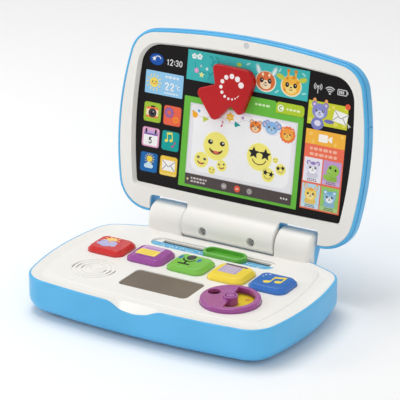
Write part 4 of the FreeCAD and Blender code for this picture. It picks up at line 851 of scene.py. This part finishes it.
def chat_card(sheet):
    """Film camera over four animals in their frames."""
    sheet.card(63.0, 101.4, 34.0, 105.0, CORAL)
    sheet.card(63.0, 101.4, 92.0, 105.0, (250, 184, 62), 0.0, 1)
    for x, y in ((68.0, 101.0), (92.0, 94.6), (98.2, 102.4), (70.6, 94.4)):
        sheet.dot(x, y, 1.7, (252, 202, 96), lift=2, count=16)
    sheet.card(75.6, 84.6, 95.0, 101.8, (255, 250, 240), 0.9, 3)
    sheet.shape([(85.2, 97.4), (88.8, 95.2), (88.8, 101.4), (85.2, 99.4)], (255, 250, 240), 3)
    bars(sheet, 68.2, 96.0, (88.2, 83.4), 2.6, (252, 186, 160), 1, 3.6)
    seats = ((64.0, 58.6, (238, 236, 248), (226, 224, 242), (252, 250, 252), (150, 122, 190),
              (216, 200, 232), "round"),
             (82.6, 58.6, LILAC, (150, 200, 76), (196, 222, 110), (150, 200, 76),
              (196, 222, 110), "none"),
             (64.0, 35.4, (186, 222, 240), (250, 214, 108), (252, 232, 160), (246, 170, 60),
              (190, 220, 236), "tall"),
             (82.6, 35.4, (150, 204, 106), (150, 196, 224), (236, 244, 250), (120, 176, 214),
              (236, 244, 250), "round"))
    for x0, y0, back, coat, muzzle, ears, inner, kind in seats:
        sheet.card(x0, x0 + 17.4, y0, y0 + 21.4, back, 0.3, 2)
        middle = x0 + 8.7
        sheet.card(x0 + 3.2, x0 + 14.2, y0 + 3.4, y0 + 8.6, shade(coat, 0.94), 2.4, 3)
        if kind == "none":
            sheet.dot(middle - 4.6, y0 + 7.0, 3.4, coat, ry=2.4, lift=4, count=20)
            sheet.dot(middle + 1.2, y0 + 13.2, 5.8, coat, ry=5.2, lift=4, count=28)
            sheet.dot(middle - 2.4, y0 + 11.6, 3.0, shade(coat, 1.12), ry=2.2, lift=5, count=20)
            for px, py in ((-1.8, 15.6), (3.4, 14.0)):
                sheet.dot(middle + px, y0 + py, 1.0, DARK, ry=1.2, lift=6, count=14)
            sheet.arc(middle - 2.4, y0 + 11.8, 1.6, 200, 330, 0.4, (96, 140, 50), 6)
        else:
            face(sheet, middle, y0 + 12.4, 5.9, coat, muzzle, ears, inner, 4, kind, 0.16)
            sheet.dot(middle, y0 + 16.6, 2.6, ears, ry=1.4, lift=7, count=18)
        sheet.card(x0, x0 + 17.4, y0, y0 + 3.6, shade(back, 1.2), 0.3, 8)
        bars(sheet, x0 + 4.0, x0 + 13.8, (y0 + 2.6, y0 + 1.1), 0.8, (92, 82, 92), 9, 1.5)


screen = Print("screen_print", LID, "lid", height_on_lid("screen_panel"), "panel_black")
for picture in (status_corner, weather_card, application_tiles, banner, window, string_of_shapes,
                animal_heads, smiling_faces, status_marks, mail_card, chat_card):
    picture(screen)
screen.done()


# -------- dots on the turning arrow

def arrow_dots():
    """Dots that grow round a ring, beside the arrow's pivot."""
    pivot = Vector(JOINTS["arrow_turn"]["pos_m"]) - HINGE
    x = pivot.dot(Vector((1, 0, 0))) / MM + 2.0
    y = pivot.dot(LID_UP) / MM + 4.4
    sheet = Print("arrow_dots", LID, "arrow", height_on_lid("cursor_arrow"), "arrow_red")
    dots = 13
    for step in range(dots):
        share = step / (dots - 1)
        turn = math.radians(-37.0 - 301.0 * share ** 1.42)
        radius = 0.45 + 2.3 * share ** 1.12
        reach = 9.9 + 0.5 * share
        sheet.dot(x + reach * math.cos(turn), y + reach * math.sin(turn), radius,
                  (252, 238, 240), count=28)
    sheet.done()


arrow_dots()


# -------- pictures on the keys

def key_sheet(colour):
    """Sheet on the flat top of one key, in millimetres from the key's centre."""
    node = "key_" + colour
    return Print(node + "_print", level_plane(node), node, 0.0, node)


def weather_picture(sheet):
    """Sun behind a cloud."""
    sunny, pale_cloud, outline = (252, 206, 120), (190, 186, 226), (150, 146, 200)
    for side, height in ((-1, 3.0), (1, 1.6)):
        sheet.dot(-3.4 + side * 4.6, -0.4 + height * 0.4, 4.0, pale_cloud, lift=2)
    sheet.dot(-3.8, -4.2, 5.4, (178, 174, 218), ry=4.6, lift=1, count=30)
    sheet.card(-13.0, 6.0, -6.4, -0.6, pale_cloud, 2.8, 3)
    sheet.arc(-8.0, -1.6, 3.6, 100, 200, 0.7, outline, 5)
    sheet.arc(-1.2, 0.4, 4.4, 40, 120, 0.7, outline, 5)
    for turn in range(9):
        angle = math.radians(turn * 40)
        sheet.stroke([(-4.0 + 6.2 * math.cos(angle), 6.8 + 5.2 * math.sin(angle)),
                      (-4.0 + 7.6 * math.cos(angle), 6.8 + 6.4 * math.sin(angle))], 1.1,
                     sunny)
    sheet.dot(-4.0, 6.8, 5.2, sunny, ry=4.4, count=30)


def page_picture(sheet):
    """Page of lines under a heading."""
    sheet.card(-12.4, 7.6, 3.4, 12.4, (206, 170, 214), 1.6)
    sheet.card(-12.4, 7.6, -7.0, 4.6, (250, 226, 96), 1.2, 1)
    sheet.card(-9.6, 4.8, 6.2, 7.8, (168, 116, 184), 0.5, 1)
    for step in range(3):
        sheet.card(-9.6, 4.8, 1.6 - step * 3.2, 2.5 - step * 3.2, (232, 186, 52), 0.4, 2)


def microphone_picture(sheet):
    """Microphone on its stand, with sound waves."""
    for side in (-1, 1):
        for reach in (1.9, 3.6):
            sheet.arc(-3.6 + side * 6.6, 5.2, reach, 90 - side * 150, 90 - side * 30, 1.2,
                      (42, 96, 196), 1)
    sheet.dot(-3.6, 7.8, 4.0, INK_BLACK, ry=5.2, lift=2, count=30)
    for step in range(4):
        sheet.card(-6.4, -0.8, 4.9 + step * 2.0, 5.5 + step * 2.0, (112, 108, 120), 0.2, 3)
    sheet.arc(-3.6, 4.6, 5.4, 190, 350, 1.5, INK_BLACK, 1)
    sheet.card(-4.5, -2.7, -6.0, 0.4, INK_BLACK, 0.3, 1)
    sheet.card(-9.4, 2.2, -7.9, -5.6, INK_BLACK, 0.9, 2)


def sheet_picture(sheet):
    """Ruled sheet with a dark bar above it."""
    sheet.card(-11.8, 9.6, 10.4, 12.8, (74, 46, 100), 0.7, 1)
    sheet.card(-11.4, 6.6, -5.4, 9.8, (190, 172, 204), 1.2, 1)
    for step in range(4):
        sheet.card(-9.8, 5.0, 6.6 - step * 3.3, 8.0 - step * 3.3, (214, 202, 214), 0.5, 2)
    for step in range(5):
        sheet.card(-9.4 + step * 3.4, -8.9 + step * 3.4, -4.0, 8.8, (160, 138, 190), 0.2, 3)


def music_picture(sheet):
    """Joined music notes with dots beside them."""
    gold = (250, 222, 74)
    for x, y in ((-3.6, -4.6), (5.6, -1.2)):
        sheet.leaf(x, y, 3.2, 2.5, 20, gold, 1, count=32)
        sheet.stroke([(x + 2.6, y), (x + 2.6, y + 11.0)], 1.4, gold, 2)
    sheet.shape([(-1.7, 7.2), (8.9, 10.6), (8.9, 7.4), (-1.7, 4.0)], gold, 3)
    for x, y, radius in ((-10.8, 8.0, 0.9), (-8.2, 10.4, 0.9), (-11.6, 4.4, 0.7)):
        sheet.dot(x, y, radius, (190, 214, 240), count=14)


for colour, picture in (("red", weather_picture), ("purple", page_picture),
                        ("green", microphone_picture), ("yellow", sheet_picture),
                        ("blue", music_picture)):
    key = key_sheet(colour)
    picture(key)
    key.done()


# -------- slider label and dial label

def slot_picture():
    """Waves and curls along the strip under the sliding ring."""
    low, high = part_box("slot_label")
    length = (high.x - low.x) / MM
    depth = (high.y - low.y) / MM
    waves = Print("slot_label_print", level_plane("slot_label"), "base", 0.0, "label_blue")
    half = length / 2 - depth * 0.55
    for row, tint in ((0.26, (64, 146, 208)), (-0.02, (88, 164, 216)), (-0.30, (64, 146, 208))):
        span = [(-half + half * 2 * t / 48, depth * (row + 0.085 * math.sin(t * 0.86 + row * 9)))
                for t in range(49)]
        waves.stroke(span, 0.75, tint, 1)
    for step in range(-4, 5):
        waves.dot(step * length / 10.4, depth * (0.12 if step % 2 else -0.14), 0.9,
                  (232, 244, 250), lift=2, count=16)
    for step in range(-5, 6):
        curl = step * length / 12.4
        waves.arc(curl, depth * 0.06 * (1 if step % 2 else -1), 1.5, 10, 250, 0.5,
                  (214, 236, 248), 2)
    waves.done()


def dial_picture():
    """Small coloured spots round the disc under the dial."""
    low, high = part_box("dial_label")
    radius = (high.x - low.x) / MM / 2
    pictures = Print("dial_label_print", level_plane("dial_label"), "base", 0.0, "label_yellow")
    for turn, tint in ((-52.0, (92, 84, 132)), (-30.0, (182, 176, 206)), (14.0, (226, 186, 62)),
                       (58.0, (232, 150, 60)), (112.0, (170, 96, 150)), (171.0, (44, 40, 46)),
                       (236.0, (120, 170, 90))):
        x = radius * 0.64 * math.cos(math.radians(turn))
        y = radius * 0.64 * math.sin(math.radians(turn))
        pictures.dot(x, y, 2.5, tint, ry=1.7, lift=0, count=24)
        pictures.dot(x - 0.7, y + 0.5, 0.6, shade(tint, 1.5), lift=1, count=12)
        pictures.arc(x, y - 0.2, 1.1, 205, 335, 0.4, shade(tint, 0.6), 1)
    pictures.arc(0, 0, radius * 0.9, 0, 359, 0.5, (226, 186, 34), 0)
    pictures.done()


slot_picture()
dial_picture()


# -------- cross recesses of the screws, as painted shade and painted highlight

SCREW_HEAD = 3.0


def painted_screw_shade_and_highlight(name, x, y):
    """Painted shade in a screw's cross recess: a dark cross, with a bright disc of painted highlight
    and a darker rim of painted shade round it.
    """
    shaded_rim, disc, arm, arm_half, shaded_pit = 2.9, 2.45, 1.8, 0.38, 0.75
    sheet = Print(name, LID, "lid", height_on_lid("barrel_screws"), "steel")
    # Painted highlight: a bright disc on the domed head, over a darker rim of painted shade.
    sheet.dot(x, y, shaded_rim, (150, 152, 158), lift=0, count=32)
    sheet.dot(x, y, disc, (196, 198, 204), lift=1, count=32)
    # Painted shade: the dark cross and the centre pit stand for the shade inside the cross recess.
    for turn in (32, 122):
        slit = [(x - arm, y - arm_half), (x + arm, y - arm_half), (x + arm, y + arm_half),
                (x - arm, y + arm_half)]
        sheet.shape(turned(slit, turn, (x, y)), (40, 42, 48), 2)
    sheet.dot(x, y, shaded_pit, (28, 30, 34), lift=3, count=16)
    sheet.done()


low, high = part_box("barrel_screws")
SCREW_X = (high.x - low.x) / MM / 2 - SCREW_HEAD
SCREW_UP = ((low + high) / 2 - HINGE).dot(LID_UP) / MM
# Painted shade and painted highlight on both screw heads.
for side, mark in ((-1, "left"), (1, "right")):
    painted_screw_shade_and_highlight("barrel_screw_painted_shade_" + mark, side * SCREW_X, SCREW_UP)


# -------- moulded relief on the speaker

def raised_ring(name, plane, radius, height, width):
    """Low rounded moulding ridge of the deck, standing on a flat face."""
    around, across, sunk = 72, 6, 0.02
    mesh = bmesh.new()
    rows = []
    for step in range(around):
        turn = math.radians(step * 360.0 / around)
        row = []
        for part in range(across + 1):
            lean = math.radians(180.0 * part / across)
            reach = radius + width / 2 * math.cos(lean)
            row.append(mesh.verts.new(plane.at(reach * math.cos(turn), reach * math.sin(turn),
                                               height * math.sin(lean) - sunk)))
        rows.append(row)
    for one, two in zip(rows, rows[1:] + rows[:1]):
        for a, b, c, d in zip(one, two, two[1:], one[1:]):
            mesh.faces.new((a, b, c, d))
    item = put_mesh(name, mesh, [SLOT_LOOKS["white_shell"]])
    for polygon in item.data.polygons:
        polygon.use_smooth = True
    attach(item, "base")


low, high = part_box("speaker_cone")
middle = (low + high) / 2
PAD_RECESS = 0.001
DECK_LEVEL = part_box("touchpad_plate")[1].z + PAD_RECESS
SPEAKER = Plane((middle.x, middle.y, DECK_LEVEL), (1, 0, 0), (0, 1, 0), (0, 0, 1))
for number, radius in enumerate((4.2, 7.6), start=1):
    raised_ring("speaker_ridge_%d" % number, SPEAKER, radius, 0.45, 1.1)


# -------- floor, light and camera

FLOOR_HALF = 6.0


def make_floor():
    """Pale matt floor, square, with a faint haze in its tint."""
    n = Nodes("studio_floor")
    haze = n.spread(n.noise(2.2, 3.0), 0.3, 0.7, 0.0, 1.0)
    n.feed("Base Color", n.mix(haze, (0.955, 0.955, 0.955, 1), (0.975, 0.975, 0.972, 1)))
    n.feed("Roughness", n.spread(n.noise(300.0, 3.0), 0.3, 0.7, 0.7, 0.8))
    n.feed("Normal", n.bump(n.noise(900.0, 3.0), 0.05, 0.0001))
    mesh = bmesh.new()
    mesh.faces.new([mesh.verts.new((FLOOR_HALF * x, FLOOR_HALF * y, 0))
                    for x, y in ((-1, -1), (1, -1), (1, 1), (-1, 1))])
    put_mesh("floor", mesh, [n.material])


make_floor()

WORLD_STRENGTH = 0.58
world = bpy.data.worlds.new("studio")
world.use_nodes = True
background = world.node_tree.nodes["Background"]
background.inputs["Color"].default_value = (1.0, 1.0, 1.0, 1)
background.inputs["Strength"].default_value = WORLD_STRENGTH
bpy.context.scene.world = world
bpy.context.scene.view_settings.view_transform = "Standard"

CENTRE = Vector((0.0, 0.0, 0.08))


def area_light(name, place, size, watts):
    """White square soft light that faces the object."""
    data = bpy.data.lights.new(name, "AREA")
    data.shape = "SQUARE"
    data.size = size
    data.energy = watts
    item = put(name, data)
    item.location = place
    item.rotation_euler = (CENTRE - Vector(place)).to_track_quat("-Z", "Y").to_euler()


area_light("overhead_light", (-0.35, 0.1, 1.5), 0.8, 10.0)
area_light("left_light", (-1.5, -0.9, 0.8), 0.6, 6.0)
area_light("front_light", (1.2, -1.5, 0.7), 0.6, 3.4)

AZIMUTH, ELEVATION, ROLL = 30.4647, 21.8707, 0.1387
DISTANCE, SHIFT_RIGHT, SHIFT_UP = 2.171585, 0.008323, 0.060511
FOCAL_LENGTH, SENSOR_WIDTH, CLIP_END = 226.04, 36.0, 60.0
HINGE_BEHIND_DECK, HINGE_ABOVE_DECK = 0.0767, 0.0095


def make_camera():
    """Camera aimed from its angles, in degrees, and its distance from the deck's centre."""
    deck = Vector((0.0, HINGE.y - HINGE_BEHIND_DECK, HINGE.z - HINGE_ABOVE_DECK))
    turn, rise, roll = (math.radians(angle) for angle in (AZIMUTH, ELEVATION, ROLL))
    back = Vector((math.sin(turn) * math.cos(rise), -math.cos(turn) * math.cos(rise),
                   math.sin(rise)))
    right = Vector((math.cos(turn), math.sin(turn), 0.0))
    above = back.cross(right)
    data = bpy.data.cameras.new("camera")
    data.lens = FOCAL_LENGTH
    data.sensor_width = SENSOR_WIDTH
    data.clip_end = CLIP_END
    camera_right = right * math.cos(roll) - above * math.sin(roll)
    camera_up = right * math.sin(roll) + above * math.cos(roll)
    facing = Matrix((camera_right, camera_up, back)).transposed().to_4x4()
    facing.translation = deck + back * DISTANCE + right * SHIFT_RIGHT + above * SHIFT_UP
    camera = put("camera", data)
    camera.matrix_world = facing
    return camera


bpy.context.scene.camera = make_camera()
